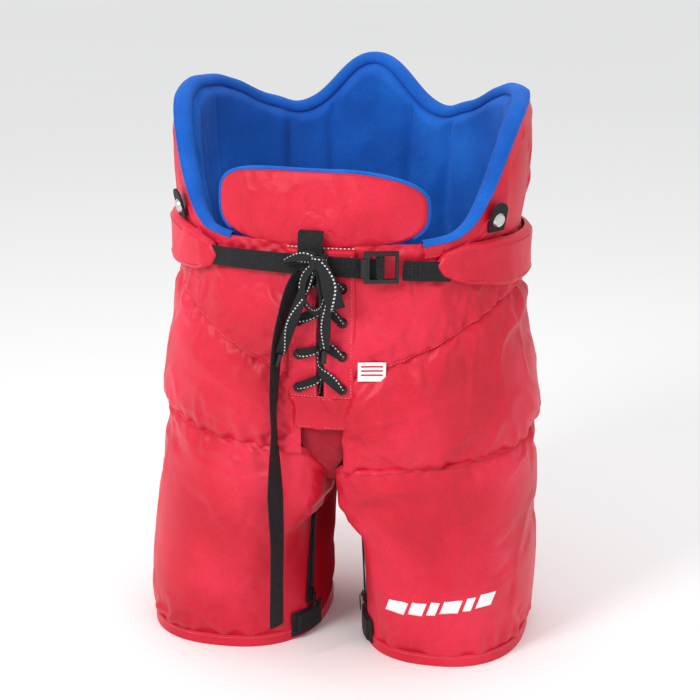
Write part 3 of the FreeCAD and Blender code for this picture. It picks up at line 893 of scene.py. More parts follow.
def make_thigh_shell(side):
    rows = 58
    angle, top = leg_columns(side)
    columns = len(angle)
    t = np.linspace(0, 1, rows)[:, None]
    z = mix(top, HEM_BAND - 2, t)
    fade = edge_fade(rows, columns, 3, closed=True)
    swell = np.sin(math.pi * np.clip(t, 0, 1)) ** 0.7
    front = smooth(0.5 + 0.9 * np.cos(angle + 1.2))
    inset = 2.4 - 1.4 * fade - 2.4 * swell * front
    by_zip = np.cos(angle - ZIP_ANGLE) > 0.93
    fade = fade * np.where(by_zip & (z < 150), 0.0, 1.0)
    points = crotch_bulge(side, leg_point(side, z, angle, np.where(by_zip & (z < 150), 0.6, inset)))
    centre = np.zeros_like(points)
    centre[..., 0] = SIDES[side] * leg_centre(side, z)
    normals = facing(grid_normals(points, True), (points - centre) * (1, 1, 0))
    seed = 23 if side == "right" else 29
    points = crease(points, normals, seed, 2.2, 55, (1, 1, 0.45), fade)
    points = puckers(points, normals, seed, 2.6, 11, 22)
    points = gathers(points, normals, (SIDES[side] * 18, 215), 12, 90, 4.4, seed)
    shell = grid_object(f"thigh_cloth_{side}", points, closed=True, flip=side == "left")
    index = np.arange(rows * columns).reshape(rows, columns)
    gap = index[:, HALF_COLUMNS + 4:columns - 4].ravel()
    high = points.reshape(-1, 3)[gap, 2] > 60
    held = np.union1d(border(rows, columns, closed=True), gap[high])
    held = np.union1d(held, index[:, by_zip].ravel())
    puff(shell, held, 1.8, 0.035, 0.007, normals)
    finish(refine(shell, 1, CLOTH_THICK), RED, "red_nylon", f"{side}_leg",
           [f"thigh_shell_{side}", f"thigh_guard_{side}"])
    # The inner walls between the legs take the darker, matte stand-in for the red nylon: painted
    # shade between the legs.
    shell.data.materials.append(SHADED_INNER_RED)
    across = np.arange((rows - 1) * columns) % columns
    inner = (across > HALF_COLUMNS + 5) & (across < columns - 7)
    shell.data.polygons.foreach_set("material_index", inner.astype(np.int32))

    around = np.linspace(0, 2 * math.pi, 160, endpoint=False)
    line = leg_point(side, HEM_BAND / 2, around, 1.7)
    band = ribbon(f"hem_band_{side}", line, (0, 0, 1), HEM_BAND, 3.6, closed=True)
    finish(refine(band), RED_PAD, "red_nylon", f"{side}_leg")
    line = leg_point(side, HEM_BAND - 2.6, np.linspace(0, 2 * math.pi, 200), -0.3)
    thread(THREAD, "red_nylon", f"{side}_leg", f"hem_stitches_{side}", line,
           line * (1, 1, 0) - centre[0, 0] * (1, 1, 0))
    return shell


def crotch_strip(profile, half, share):
    """A strip half wide each side of a profile given as (y, z)."""
    points = np.zeros((len(profile), len(share), 3))
    points[..., 0] = half[:, None] * share
    points[..., 1:] = profile[:, None]
    return points


GUSSET_RUN = [(-131, 300), (-130.5, 262), (-122, 232), (-104, 205), (-74, 186), (-36, 176),
              (10, 174), (56, 180), (98, 196), (130, 222), (146, 256), (149, 316)]
GUSSET_HALF = [(0, 5), (195, 5), (208, 10), (232, 21), (250, 26), (400, 26)]


def make_gusset():
    profile = catmull(GUSSET_RUN, 150)
    x = np.linspace(-1, 1, 13)
    half = smooth_curve(profile[:, 1], GUSSET_HALF)
    points = crotch_strip(profile, half, x)
    fade = edge_fade(len(profile), len(x), 3)
    normals = facing(grid_normals(points), points - (0, 0, 330))
    points = crease(points, normals, 5, 2.6, 16, (0.6, 1, 1), fade)
    gusset = grid_object("gusset_cloth", points, flip=True)
    finish(refine(gusset, 1, 1.4), GUSSET_RED, "gusset", "pelvis", ["crotch_gusset"])
    declare_sheet(points)

    x = np.linspace(-1, 1, 40)
    z = np.linspace(297, 262, 22)[:, None]
    wide = mix(27.0, 33.0, (z - 262) / 35)
    x = x * wide
    points = crease(front_point(x, z, -0.2), front_out(x, z), 7, 3.4, 15, (1, 1, 0.45))
    base = raised("fly_base", points, 1.8, 3.0, np.array([0, 0, 280]))
    finish(refine(base), RED, "red_nylon", "pelvis")


# ---- padded waist wall: red outside, blue roll and lining inside ----


def smooth_line(values, width):
    kernel = np.hanning(width + 2)[1:-1]
    padded = np.pad(values, width // 2, mode="edge")
    return np.convolve(padded, kernel / kernel.sum(), "valid")


WALL_PHI = np.radians(np.linspace(-57, 237, 420))
WALL_PLAN = hip_point(WALL_PHI, 520.0, 10)
WALL_RUN = lengths(WALL_PLAN, 0)
WALL_RIM = smooth_line(rim_height(WALL_PHI), 15)


def from_rim(down, inset, width=1):
    """Points on the wall at a distance down from the rim, measured square to its edge."""
    slope = np.gradient(WALL_RIM, WALL_RUN)
    run = WALL_RUN + down * slope / np.hypot(1, slope)
    z = WALL_RIM - down / np.hypot(1, slope)
    if width > 1:
        run, z = smooth_line(run, width), smooth_line(z, width)
    phi = np.interp(run, WALL_RUN, WALL_PHI)
    return phi, z, np.broadcast_to(inset, phi.shape)


def stack(rows):
    """The rows' points; the wall's padding thins out to its two front ends."""
    phi, z, inset = (np.array(part) for part in zip(*rows))
    run = np.interp(phi, WALL_PHI, WALL_RUN)
    from_end = np.minimum(run, WALL_RUN[-1] - run)
    return hip_point(phi, z, inset * mix(0.45, 1.0, smooth(from_end / 85)))


def roll_row(turn):
    """One row over the rounded rim: turn 0 is outside, 180 degrees inside."""
    beta = math.radians(turn)
    return from_rim(7 * (1 - math.sin(beta)) - 1, 8.5 - 8.5 * math.cos(beta))


def seam_distance(phi):
    """Millimetres of lining from the nearest upright seam between the guards' pads."""
    run = np.interp(phi, WALL_PHI, WALL_RUN)
    seams = []
    for x in (SPINE_HALF, 93):
        for angle in (math.acos(x / 171), math.pi - math.acos(x / 171)):
            seams.append(np.interp(angle, WALL_PHI, WALL_RUN))
    return np.min([np.abs(run - s) for s in seams], axis=0), seams


def make_waist_wall():
    top = [roll_row(turn) for turn in (28, 14, 0)] + [from_rim(14, 0.0, 5)]
    low_phi, low_z, _ = top[-1]
    bottom = np.minimum(447.0, low_z - 3)
    rows = list(top)
    for t in np.linspace(0, 1, 26)[1:]:
        phi = mix(low_phi, WALL_PHI, t)
        z = mix(low_z, bottom, t)
        near, _ = seam_distance(phi)
        tuck = 2.2 * np.exp(-(near / 4) ** 2) * smooth(t * 6)
        rows.append((phi, z, -1.5 * math.sin(math.pi * t) + tuck))
    points = stack(rows)
    fade = edge_fade(*points.shape[:2], 4)
    points = crease(points, outward(points), 41, 1.5, 45, (1, 1, 0.5), fade)
    wall = grid_object("rim_cloth", points, flip=True)
    index = np.arange(points.shape[0] * points.shape[1]).reshape(points.shape[:2])
    held = np.union1d(border(*points.shape[:2]), index[:4].ravel())
    puff(wall, held, 1.2, 0.025, 0.004, outward(points), frames=16)
    finish(refine(wall, 1, 1.0), RED_PAD, "red_nylon", "pelvis", ["rim_shell"])
    declare_sheet(points)

    rows = [roll_row(turn) for turn in range(20, 171, 12)]
    rows += [from_rim(7.4, 17.2, 3), from_rim(8.8, 15.4, 5), from_rim(9.8, 12.8, 7),
             from_rim(11.0, 15.6, 7), from_rim(14.0, 20.0, 9)]
    low_phi, low_z, _ = rows[-1]
    for t in np.linspace(0, 1, 48)[1:]:
        phi = mix(low_phi, WALL_PHI, smooth(t))
        z = mix(low_z, np.minimum(348.0, low_z - 30), t)
        near, _ = seam_distance(phi)
        pad = 5.5 * (1 - np.exp(-(near / 8) ** 2)) * smooth(1.35 - t * 1.1)
        for y in (-4, 40):
            line = hip_point(phi, 500.0)[:, 1] - y
            pad = pad - 1.4 * np.exp(-(line / 2.6) ** 2) * (np.abs(np.cos(phi)) > 0.6) * (t < 0.75)
        rows.append((phi, z, 18.6 + pad + 1.0 * math.sin(math.pi * t)))
    points = stack(rows)
    fade = np.ones(points.shape[:2])
    fade[:18] = 0
    points = crease(points, -outward(points), 47, 1.2, 50, (1, 1, 0.7), fade)
    lining = grid_object("waist_lining", points, flip=True)
    finish(refine(lining, 1, 1.0), BLUE, "blue_liner", "pelvis",
           ["waist_liner", "hip_crescent_right", "hip_crescent_left", "hip_guard_right",
            "hip_guard_left", "spine_pad", "kidney_pad_right", "kidney_pad_left",
            "hip_plate_right", "hip_plate_left", "spine_plate"])

    phi, z, inset = from_rim(9.9, 13.2, 7)
    line = hip_point(phi, z, inset)
    thread(BLUE_THREAD, "blue_liner", "pelvis", "rim_stitches", line,
           -outward(line[None])[0] * (1, 1, 0))
    phi, z, inset = roll_row(24)
    piping = tube("rim_piping", hip_point(phi, z, inset - 0.3), 1.5, sides=8)
    finish(piping, BLUE, "blue_liner", "pelvis")
    for k, s in enumerate(seam_distance(WALL_PHI)[1]):
        angle = float(np.interp(s, WALL_RUN, WALL_PHI))
        height = float(np.interp(s, WALL_RUN, WALL_RIM))
        z = np.linspace(height - 17, 360, 40)
        line = hip_point(angle, z, 20.2)
        thread(BLUE_THREAD, "blue_liner", "pelvis", f"wall_stitches_{k}", line, -line * (1, 1, 0))


SADDLE_RUN = [(-123, 356), (-121, 300), (-115, 258), (-92, 226), (-58, 209), (0, 201), (60, 209),
              (98, 229), (120, 262), (128, 300), (131, 356)]
LINING_TOP = 352.0
LINING_HEM = 3.0
LINING_INSET = 18.0


def make_linings():
    """Shiny royal lining of the seat and legs, one tube a side, sewn low at the crotch."""
    for side in SIDES:
        angle, _ = leg_columns(side)
        phi = half_columns()
        columns = len(angle)
        top = np.full(columns, LINING_TOP)
        inner = np.linspace(0, math.pi, columns - HALF_COLUMNS + 2)[1:-1]
        top[HALF_COLUMNS:] = mix(262.0, 192.0, np.sin(inner) ** 0.6)
        t = np.linspace(0, 1, 66)[:, None]
        z = mix(top, LINING_HEM, t)
        points = leg_point(side, np.minimum(z, LEG_TOP), angle, LINING_INSET)
        hips = trouser_point(side, phi, z[:, :HALF_COLUMNS], LINING_INSET)
        points[:, :HALF_COLUMNS] = np.where(
            (z[:, :HALF_COLUMNS] > LEG_TOP)[..., None], hips, points[:, :HALF_COLUMNS])
        points[..., 2] = z
        normals = grid_normals(points, True)
        points = crease(points, normals, 53, 2.0, 38, (1, 1, 0.4))
        lining = grid_object(f"leg_lining_{side}", points, closed=True, flip=side == "left")
        refine(lining, 0, 1.0)
        finish(lining, ROYAL, "royal_lining", None, [f"leg_liner_{side}"])
        declare_sheet(points, closed=True)
        bend(lining, HIP_BEND)
    profile = catmull(SADDLE_RUN, 120)
    x = np.linspace(-1, 1, 24)
    points = crotch_strip(profile, mix(44.0, 30.0, smooth((profile[:, 1] - 235) / 60)), x)
    points[..., 2] -= 7 * smooth(np.abs(x) * 3 - 2) * (profile[:, 1:] < 300)
    points = crease(points, grid_normals(points), 57, 1.2, 26)
    saddle = grid_object("crotch_lining", points, flip=True)
    finish(refine(saddle, 1, 1.0), GUSSET_RED, "gusset", "pelvis")
    declare_sheet(points)
    x = np.linspace(-62, 62, 50)
    z = np.linspace(446, 305, 50)[:, None]
    points = front_point(x, z, 8.5)
    points = crease(points, front_out(x, z), 59, 1.0, 30)
    tongue = raised("fly_tongue_cloth", points, 2.4, 5.0, np.array([0, 0, 400]), foot=2)
    finish(tongue, ROYAL, "royal_lining", "pelvis", ["fly_tongue"])


# ---- front flap ----


FLAP_CENTRE = (-7, 483)
FLAP_HALF = (112, 37)
ROUNDNESS = 3.4


def flap_outline(theta, share, inset):
    """The flap's rounded outline, shrunk by share, on the hips' front."""
    c, s = np.cos(theta), np.sin(theta)
    power = 2 / ROUNDNESS
    x = FLAP_CENTRE[0] + FLAP_HALF[0] * share * np.sign(c) * np.abs(c) ** power
    z = FLAP_CENTRE[1] + FLAP_HALF[1] * share * np.sign(s) * np.abs(s) ** power
    z = z - 7 * smooth((x - 20) / 90) * smooth((z - 470) / 40)
    curl = 6 * (x / 110) ** 2 + 2.5 * smooth((z - 480) / 40)
    return front_point(x, z, inset + curl)


def make_flap():
    theta = np.linspace(0, 2 * math.pi, 180, endpoint=False)
    for name, sign, material, slot, node in (
        ("flap_front", -1, RED_PAD, "red_nylon", "flap_cover"),
        ("flap_back", 1, BLUE, "blue_liner", "flap_lining"),
    ):
        rows = []
        for share in np.linspace(1 if sign < 0 else 0.975, 0.003, 30):
            lift = 4.8 * (1 - share**7) ** 0.5
            rows.append(flap_outline(theta, share, 4 + sign * (0.4 + lift)))
        points = np.array(rows)
        normals = -sign * outward(points, True)
        if sign < 0:
            fade = edge_fade(30, 180, 4, closed=True)
            points = crease(points, normals, 61, 1.2, 30, (1, 1, 0.5), fade)
        face = grid_object(name, points, closed=True, flip=sign > 0)
        puff(face, border(30, 180, closed=True, width=2), 0.8, 0.03, 0.004, normals, frames=16)
        finish(refine(face, 1, 0.8), material, slot, "front_flap", [node])
    theta = np.radians(np.linspace(-40, 220, 170))
    edge = tube("flap_edge", flap_outline(theta, 1.0, 4.0), 2.3, sides=12)
    finish(edge, BLUE, "blue_liner", "front_flap")
    line = flap_outline(np.append(theta, 0), 0.955, 4 - 3.4)
    thread(RED_THREAD, "red_nylon", "front_flap", "flap_stitches", line, outward(line[None])[0])


# ---- fly: plackets, lace and bow ----


PLACKET_EDGES = (2.0, 34.5)
PLACKET_TOP, PLACKET_FOOT = 446, 294


def make_plackets():
    for side, sign in SIDES.items():
        x = np.linspace(*PLACKET_EDGES, 26) * sign
        z = np.linspace(PLACKET_TOP, PLACKET_FOOT, 90)[:, None]
        points = front_point(x, z, 0.2)
        near = np.minimum(np.abs(x) - PLACKET_EDGES[0], PLACKET_EDGES[1] - np.abs(x)) / 8
        fade = smooth(near) * np.ones_like(z)
        points = crease(points, front_out(x, z), 67 + sign, 1.1, 18, (0.5, 1, 1), fade)
        patch = raised(f"placket_{side}", points, 3.9, 2.6, np.array([0, 0, 370]))
        finish(refine(patch), RED, "red_nylon", "pelvis", [f"fly_placket_{side}"])
        for k, inset in enumerate((5.0, 30.0)):
            z = np.linspace(PLACKET_TOP - 4, PLACKET_FOOT + 3, 80)
            line = front_point(sign * inset, z, -3.9)
            thread(THREAD, "red_nylon", "pelvis", f"placket_stitches_{side}_{k}", line,
                   line - (0, 0, 370))
    row = np.linspace(-30, 30, 40)
    for k, (height, half) in enumerate(((297.5, 31), (264.5, 25))):
        line = front_point(row / 30 * half, height, -4.0 if k == 0 else -1.9)
        thread(THREAD, "red_nylon", "pelvis", f"fly_base_stitches_{k}", line, line - (0, 0, 300))
    line = front_point(np.linspace(-34, 34, 50), 447.5, -4.4)
    thread(WHITE_THREAD, "red_nylon", "pelvis", "flap_base_stitches", line,
           line - (0, 0, 400), pitch=4.0, thick=0.6)


EYELET_X = 22.0
EYELET_HEIGHTS = (408.0, 374.0, 340.0, 306.0)


LACE_RISE = {"right": 7.0, "left": 15.0}


def make_lace_rows():
    for row, height in enumerate(EYELET_HEIGHTS):
        for side, sign in SIDES.items():
            over = 1.3 if (row + sign) % 2 else 0.0
            rise = LACE_RISE[side] + (3 if row % 2 else 0)
            stations = [
                front_point(sign * EYELET_X, height, -2.5),
                front_point(sign * (EYELET_X - 0.6), height + 0.5, -7.0),
                front_point(sign * (EYELET_X - 6), height + rise * 0.35, -8.4 - over),
                front_point(sign * 9, height + rise * 0.7, -8.2 - over),
                front_point(sign * 2.5, height + rise, -6.8 - over),
                front_point(-sign * 1.5, height + rise + 4, -3.0),
            ]
            line = catmull(stations, 44)
            t = np.linspace(0, 1, 44)
            width = 5.0 + 5.6 * np.sin(math.pi * np.clip(t * 1.08 - 0.04, 0, 1)) ** 0.6
            tilt = np.radians(40 * np.sin(3 * t + row))
            along = unit(line[-1] - line[0])
            flat = np.cross(along, [0, -1, 0])
            lean = np.array([0, -1, 0]) * np.sin(tilt)[:, None] * 0.5
            across = flat * np.cos(tilt)[:, None] + lean
            lace("fly_lace", f"lace_row_{row}_{side}", line, across, width, 1.3)
    z = np.linspace(402, 301, 70)
    line = front_point(1.2 * np.sin(z / 7), z, -2.6 + 0.8 * np.cos(z / 5))
    turn = np.radians(70 * np.sin(z / 13))
    across = np.stack([np.cos(turn), np.sin(turn), 0 * turn], -1)
    lace("fly_lace", "lace_centre", line, across, 6.5, 1.4)


def route_line(name, route):
    """The smooth line of a NURBS route, in metres in the frame."""
    curve = bpy.data.curves.new(name, "CURVE")
    curve.dimensions = "3D"
    spline = curve.splines.new("NURBS")
    spline.points.add(len(route) - 1)
    for point, place in zip(spline.points, world(route)):
        point.co = (*place, 1)
    spline.order_u = 3
    spline.use_endpoint_u = True
    spline.resolution_u = 14
    obj = new_object(name, curve)
    mesh = bpy.data.meshes.new_from_object(obj)
    line = np.array([v.co for v in mesh.vertices])
    bpy.data.objects.remove(obj)
    bpy.data.meshes.remove(mesh)
    return line


LACE_TAILS = {
    "left": [(4, -155, 435), (7, -157, 413), (9, -157, 391), (9, -155, 369), (7, -152, 349)],
    "right": [(-2, -155, 435), (-11, -157, 411), (-20, -157, 388), (-29, -155, 365),
              (-37, -152, 343)],
}
LACE_TURNS = {"left": (0.7, -0.4), "right": (-0.5, 0.45)}
BOW_LOOPS = {
    "right": [(0, -155, 437), (-8, -156, 430), (-14, -157, 416), (-14, -157, 403), (-8, -156, 391),
              (0, -156, 387), (7, -156, 392), (9, -156, 404), (6, -156, 420), (2, -155, 434)],
    "left": [(3, -156, 440), (9, -161, 432), (14, -162, 418), (18, -161, 403), (20, -158, 393),
             (19, -153, 391), (15, -150, 400), (11, -149, 414), (7, -149, 427), (3, -151, 437)],
}
LACE_WIDTH = 11.0


def lace(node, *shape, **options):
    """One piece of lace, standing for a CAD node."""
    return finish(refine(ribbon(*shape, **options)), LACE, "lace", "pelvis", [node])


def hand_lace(name, route, across, width, exit_point, node):
    line = route_line(name + "_route", route)
    centre = local(line)
    band = lace(node, name, centre, across(np.linspace(0, 1, len(line))), width, 1.4)
    tuple(world(exit_point))
    return band


def make_bow():
    for side, route in LACE_TAILS.items():
        first, last = LACE_TURNS[side]
        turn = lambda t: np.stack([np.cos(mix(first, last, t)), np.sin(mix(first, last, t)),
                                   0.1 + 0 * t], -1)
        hand_lace(f"lace_end_{side}", route, turn, LACE_WIDTH, route[0],
                  f"lace_tail_{side}")
    for side, route in BOW_LOOPS.items():
        points = local(route_line("bow_route", route))
        if side == "right":
            radial = (points - (-2, -156, 411)) * (1, 0, 1)
            across = unit(radial) * 0.75 + np.array([0, 0.66, 0])
        else:
            across = np.broadcast_to(np.array([0.93, 0.1, 0.33]), points.shape)
        wide = 11.0 if side == "right" else mix(12.0, 18.0, smooth((436 - points[:, 2]) / 30))
        lace("lace_bow", f"bow_loop_{side}", points, across, wide, 1.4)
    stations = [(-1, -153, 441), (-10, -154, 443), (-22, -152, 440), (-32, -149, 436),
                (-33, -147, 434), (-22, -148, 437), (-10, -149, 439), (-1, -150, 439)]
    flap = catmull(stations, 70)
    width = mix(9.5, 5.0, smooth(-(flap[:, 0] + 14) / 20))
    lace("lace_bow", "bow_flap", flap, (0.15, 0.35, 1), width, 1.4)
    turns = np.linspace(0, 2 * math.pi, 36, endpoint=False)
    for k, (wide, deep, tilt, high) in enumerate(((7.5, 5.5, 0.25, 11), (5.0, 4.0, -0.3, 9))):
        ring = np.stack([1.5 + wide * np.cos(turns), -152 + deep * np.sin(turns),
                         438 - k * 1.0 + 1.2 * np.cos(turns + k)], -1)
        lace("lace_bow", f"bow_knot_{k}", ring, (tilt, 0, 1), high, 1.6, closed=True)


# ---- belt ----


WING_TOP = [(-114, 439), (-95, 448), (-60, 452), (110, 452)]
WING_LOW = [(-114, 419), (-95, 407), (-60, 402), (110, 402)]
WING_RISE = {"right": 3.5, "left": -5.0}


def make_belt_wing(side):
    phi = np.linspace(math.radians(-53.5), math.radians(46), 150)
    y = hip_point(phi, 428.0, -8)[:, 1]
    rise = WING_RISE[side] * smooth((y + 112) / 70) * smooth((150 - y) / 90)
    top = np.interp(y, *zip(*WING_TOP)) + rise
    low = np.interp(y, *zip(*WING_LOW)) + rise
    tip = smooth((y + 114) / 7 + 0.35)
    middle = (top + low) / 2
    top, low = mix(middle, top, tip), mix(middle, low, tip)
    z = mix(top, low, np.linspace(0, 1, 30)[:, None])
    points = hip_point(phi, z, -4.2)
    normals = outward(points)
    points = crease(points, normals, 71, 1.4, 32, (1, 1, 0.4), edge_fade(30, 150, 5))
    points[..., 0] *= SIDES[side]
    wing = raised(f"belt_pad_{side}", points, 7.0, 6.5, np.array([0, 0, 430]))
    finish(refine(wing), RED_PAD, "red_nylon", "pelvis", [f"belt_wing_{side}"])
    for k, t in enumerate((0.13, 0.87)):
        line = hip_point(phi[6:], mix(top, low, t)[6:], -11.6)
        line[..., 0] *= SIDES[side]
        thread(RED_THREAD, "red_nylon", "pelvis", f"wing_stitches_{side}_{k}", line,
               line - (0, 0, 430))


def belt_z(x):
    return BELT_HEIGHT - 6 * (np.abs(x + 5) / 120) ** 2 - 0.02 * x


def strap(name, start, end, nodes):
    x = np.linspace(start, end, 60)
    line = front_point(x, belt_z(x), -8.0)
    band = ribbon(name, line, (0, 0, 1), WEBBING, 1.6)
    finish(refine(band), WEB, "webbing", "pelvis", nodes)


def make_belt():
    make_belt_wing("right")
    make_belt_wing("left")
    strap("belt_run_right", -121, 57, ["belt_strap_right"])
    strap("belt_run_left", 76, 118, ["belt_strap_left"])
    for k in range(3):
        z = np.linspace(-8, 8, 12)
        line = front_point(84 + 3.2 * k, belt_z(np.array(88.0)) + z, -9.0)
        thread(BLACK_THREAD, "webbing", "pelvis", f"bartack_{k}", line, line - (0, 0, 430),
               pitch=2.0, long=1.6, thick=0.5)

    z = catmull([(464, -4.2), (462, -9.0), (450, -10.4), (431, -10.6), (421, -9.8),
                 (417, -5.0)], 50)
    line = front_point(np.full(50, -8.0), z[:, 0], z[:, 1])
    keeper = ribbon("belt_keeper_loop", line, (1, 0, 0), 25, 1.6)
    finish(refine(keeper), WEB, "webbing", None, ["belt_keeper"])
    bend(keeper, KEEPER_BEND)

    stations = [(-14, -143.5, 424), (-24, -146.5, 411), (-33, -149, 386), (-41, -149, 351),
                (-45, -148.5, 304), (-46, -147, 262), (-46, -145.5, 191), (-45, -144.5, 142),
                (-46, -144, 95), (-47, -143, 44)]
    line = catmull(stations, 120)
    turn = np.radians(np.interp(line[:, 2], [44, 95, 142, 191, 230, 262, 304, 351, 386, 411, 424],
                                [60, 64, 62, 52, 74, 90, 78, 72, 66, 46, 20]))
    across = np.stack([np.cos(turn), np.sin(turn), 0.25 * np.ones_like(turn)], -1)
    across[:, 2] *= smooth((line[:, 2] - 380) / 40) + 0.1
    tail = ribbon("belt_tail_webbing", line, across, WEBBING, 1.6)
    finish(refine(tail), WEB, "webbing", None, ["belt_tail"])
    bend(tail, TAIL_BEND)


# ---- small parts on the shell ----


def on_cloth(points, cloths, lift, forward=False):
    """Drops points (millimetres) on to cloth pieces from outside, lifted off a little."""
    graph = bpy.context.evaluated_depsgraph_get()
    shaped = [cloth.evaluated_get(graph) for cloth in cloths]
    flat = np.asarray(points, float).reshape(-1, 3)
    placed = []
    for p in flat:
        out = Vector((p[0] - 0.55 * math.copysign(100, p[0]) * (p[2] < 245), p[1], 0)).normalized()
        if forward:
            out = Vector((0, -1, 0))
        start = Vector(world(p)) + out * 0.04
        hits = [piece.ray_cast(start, -out, distance=0.12) for piece in shaped]
        near = [(start - where).length for hit, where, _, _ in hits if hit]
        place = start - out * (min(near) - lift / 1000) if near else Vector(world(p))
        placed.append(local(place))
    return np.array(placed).reshape(np.shape(points))


def patch_on(name, cloths, centre, width, height, slant, lift, material, slot, body,
             flat=False):
    """A thin printed or sewn shape: a slanted block laid on the cloth."""
    u = np.linspace(-1, 1, 14)
    v = np.linspace(1, -1, 8)[:, None]
    x = centre[0] + u * width / 2 + slant * v * height / 2
    z = np.broadcast_to(centre[1] + v * height / 2, x.shape)
    y = np.full(x.shape, -140.0)
    points = on_cloth(np.stack([x, y, z], -1), cloths, lift, True)
    if flat:
        base = np.stack([x.ravel(), z.ravel(), np.ones(x.size)], -1)
        plane = np.linalg.lstsq(base, points[..., 1].ravel(), rcond=None)[0]
        points[..., 1] = mix(points[..., 1], (base @ plane).reshape(x.shape) - 2.2, 0.85)
    patch = grid_object(name, points, flip=False)
    layer = patch.data.uv_layers["UVMap"]
    uv = np.stack([np.broadcast_to(u, x.shape), np.broadcast_to(v, x.shape)], -1).reshape(-1, 2)
    index = [loop.vertex_index for loop in patch.data.loops]
    layer.data.foreach_set("uv", uv.astype(np.float32)[index].ravel())
    solid = patch.modifiers.new("thickness", "SOLIDIFY")
    solid.thickness, solid.offset = 0.0005, 1
    return finish(patch, material, slot, body)


LABEL_CENTRE = (51, 325)
LABEL_SIZE = (27, 19)
MARK_START = 62.0
MARK_WIDTHS = (21, 15, 9, 18, 8, 14)
MARK_GAP = 4.6


def make_marks(seat, panel, thigh):
    label = patch_on("side_label_patch", [seat, panel], LABEL_CENTRE, *LABEL_SIZE, 0, 0.9,
                     LABEL, "label", "pelvis", flat=True)
    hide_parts("side_label")
    x = MARK_START
    for k, width in enumerate(MARK_WIDTHS):
        x += width / 2
        patch_on(f"thigh_mark_{k}", [thigh], (x, 63 + 0.1 * (x - MARK_START)), width, 14, 0.35,
                 0.35, WHITE_PRINT, "red_nylon", "left_leg")
        x += width / 2 + MARK_GAP


def make_leg_closure(side):
    body = f"{side}_leg"
    z = np.linspace(36, 138, 60)
    line = leg_point(side, z, ZIP_ANGLE, -0.9)
    beside = leg_point(side, z, ZIP_ANGLE + 0.02) - leg_point(side, z, ZIP_ANGLE - 0.02)
    tape = ribbon(f"zip_tape_{side}", line, beside, 13, 1.2)
    finish(tape, WEB, "zip", body, [f"leg_zip_{side}"])
    z = np.linspace(37, 137, 700)
    line = leg_point(side, z, ZIP_ANGLE, -1.9)
    beside = unit(leg_point(side, z, ZIP_ANGLE + 0.02) - leg_point(side, z, ZIP_ANGLE - 0.02))
    line = line + beside * (1.7 * np.sin(z * 2 * math.pi / 1.9))[:, None]
    coil = tube(f"zip_coil_{side}", line, 0.42, sides=6)
    finish(coil, PLASTIC, "zip", body)

    for name, reach, low, high, base, thick, material, target in (
        ("hem_patch", 26.0, 3.0, 31.0, 0.0, 1.2, HOOK, body),
        ("hem_strap", 20.0, 4.0, 30.0, -1.0, 2.4, WEB_OBJECT, f"hem_tab_{side}"),
    ):
        half = reach / float(leg_radius(side, 18.0, ZIP_ANGLE))
        angle = np.linspace(ZIP_ANGLE - half, ZIP_ANGLE + half, 34)
        heights = np.linspace(high, low, 20)[:, None]
        points = leg_point(side, heights, angle, base - 1.0)
        centre = np.array([SIDES[side] * HEM_CENTRE[side], 0, 17])
        patch = raised(f"{name}_{side}", points, thick, 1.2, centre)
        finish(patch, material, "hook", target, [f"hem_tab_{side}"] if name == "hem_strap" else ())
    frame_line = []
    half = 17.5 / float(leg_radius(side, 18.0, ZIP_ANGLE))
    for a, z in ((-1, 27.5), (1, 27.5), (1, 6.5), (-1, 6.5), (-1, 27.5)):
        frame_line.append(leg_point(side, z, ZIP_ANGLE + a * half, -4.5))
    dense = np.concatenate([np.linspace(p, q, 8)[:-1] for p, q in zip(frame_line, frame_line[1:])])
    thread(BLACK_THREAD, "hook", f"hem_tab_{side}", f"hem_tab_stitches_{side}", dense,
           dense * (1, 1, 0) - centre * (1, 1, 0))


def seam_stitches(seat, shells):
    """Top-stitching a few millimetres above the yoke seam and a few below each thigh seam."""
    phi = np.radians(np.linspace(-78, 258, 420))
    z = yoke_height(phi) + 4.5
    line = on_cloth(hip_point(phi, z), [seat], 0.25)
    thread(THREAD, "red_nylon", "pelvis", "yoke_stitches", line, line * (1, 1, 0))
    for side, shell in shells.items():
        phi = half_columns()[3:-3]
        angle = leg_angle(phi)
        z = np.minimum(thigh_seam(side, phi) - 5, LEG_TOP - 1)
        base = leg_point(side, z, angle)
        line = on_cloth(base, [shell], 0.25)
        thread(RED_THREAD, "red_nylon", f"{side}_leg", f"thigh_stitches_{side}", line,
               line * (1, 1, 0))


def carry_over():
    """Materials for the CAD nodes whose own shape shows, and for those inside."""
    kept = {"buckle": PLASTIC, "buckle_webbing": WEB_OBJECT, "eyelets": ENAMEL}
    for side in SIDES:
        kept[f"snap_tab_{side}"] = WEB_OBJECT
        kept[f"snap_cap_{side}"] = NICKEL
        kept[f"zip_slider_{side}"] = kept[f"zip_pull_{side}"] = ENAMEL
        kept[f"aglet_{side}"] = PLASTIC
        kept[f"thigh_plate_{side}"] = PLATE
    kept["tailbone_pad"] = FOAM
    for name, material in kept.items():
        node = frame["nodes"][name]
        node.data.materials.clear()
        node.data.materials.append(material)
    for name, width in (("buckle", 0.7), ("snap_tab_right", 0.35), ("snap_tab_left", 0.35),
                        ("snap_cap_right", 0.5), ("snap_cap_left", 0.5)):
        bevel = frame["nodes"][name].modifiers.new("edge", "BEVEL")
        bevel.width, bevel.segments, bevel.limit_method = width / 1000, 2, "ANGLE"
        bevel.angle_limit = math.radians(40)


# ---- studio ----


def aim(obj, place, target):
    obj.location = world(place)
    way = Vector(world(target)) - Vector(world(place))
    obj.rotation_euler = way.to_track_quat("-Z", "Y").to_euler()


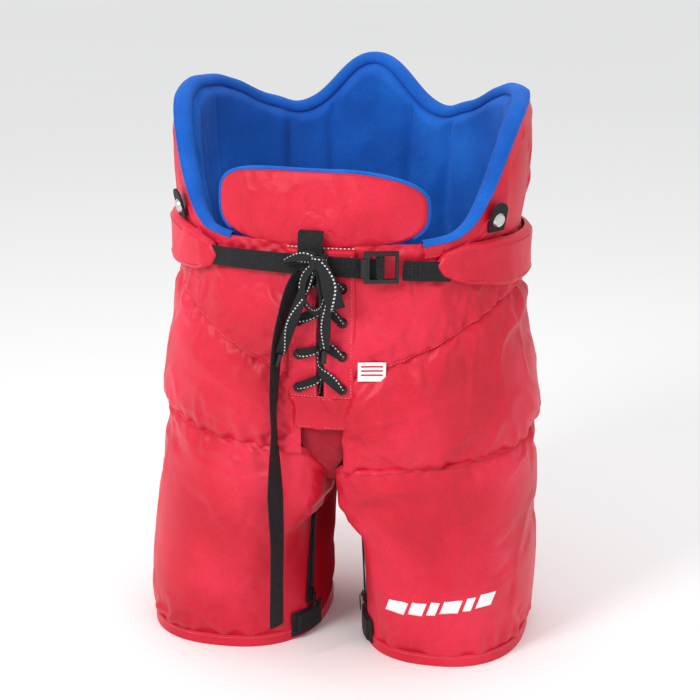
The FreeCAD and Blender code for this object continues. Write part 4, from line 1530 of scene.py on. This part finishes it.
def area_light(name, place, energy, size):
    light = bpy.data.lights.new(name, "AREA")
    light.energy, light.size = energy, size
    aim(new_object(name, light), place, (0, 0, 300))


VIEW_ANGLE = 22.4
CAMERA_AZIMUTH = math.radians(12)
CAMERA_AWAY = 1791.7
CAMERA_HEIGHT = 848.7
LOOK_HEIGHT = 303.6


def make_studio():
    floor = bpy.data.meshes.new("studio_floor")
    size = 30
    floor.from_pydata([(-size, -size, 0), (size, -size, 0), (size, size, 0), (-size, size, 0)],
                      [], [(0, 1, 2, 3)])
    plane = new_object("studio_floor", floor)
    s = Shade("studio_floor", Roughness=0.9, Specular_IOR_Level=0.1)
    s.paint(s.colours(s.noise(0.6, 2), [(0.3, (0.91, 0.91, 0.91)), (0.7, (0.93, 0.93, 0.93))]))
    plane.data.materials.append(s.material)

    backdrop = bpy.data.worlds.new("studio")
    bpy.context.scene.world = backdrop
    backdrop.use_nodes = True
    sky = backdrop.node_tree.nodes["Background"].inputs
    sky[0].default_value, sky[1].default_value = (0.93, 0.935, 0.94, 1), 0.88
    area_light("key", (-900, -1500, 1500), 23, 0.6)
    area_light("fill", (1300, -1100, 900), 5, 1.2)
    area_light("top", (0, 300, 1700), 5, 1.2)

    scene = bpy.context.scene
    scene.view_settings.view_transform = "Standard"
    camera = bpy.data.cameras.new("camera")
    camera.sensor_width, camera.lens = 36, 18 / math.tan(math.radians(VIEW_ANGLE / 2))
    eye = new_object("camera", camera)
    across, along = math.sin(CAMERA_AZIMUTH), -math.cos(CAMERA_AZIMUTH)
    aim(eye, (CAMERA_AWAY * across, CAMERA_AWAY * along, CAMERA_HEIGHT), (0, 0, LOOK_HEIGHT))
    scene.camera = eye


# ---- everything ----


make_studio()
make_bow()
seat = make_seat()
panels = {side: make_thigh_panel(side) for side in SIDES}
shells = {side: make_thigh_shell(side) for side in SIDES}
make_gusset()
make_waist_wall()
make_linings()
make_flap()
make_plackets()
make_lace_rows()
make_belt()
make_marks(seat, panels["left"], shells["left"])
for side in SIDES:
    make_leg_closure(side)
seam_stitches(seat, shells)
carry_over()
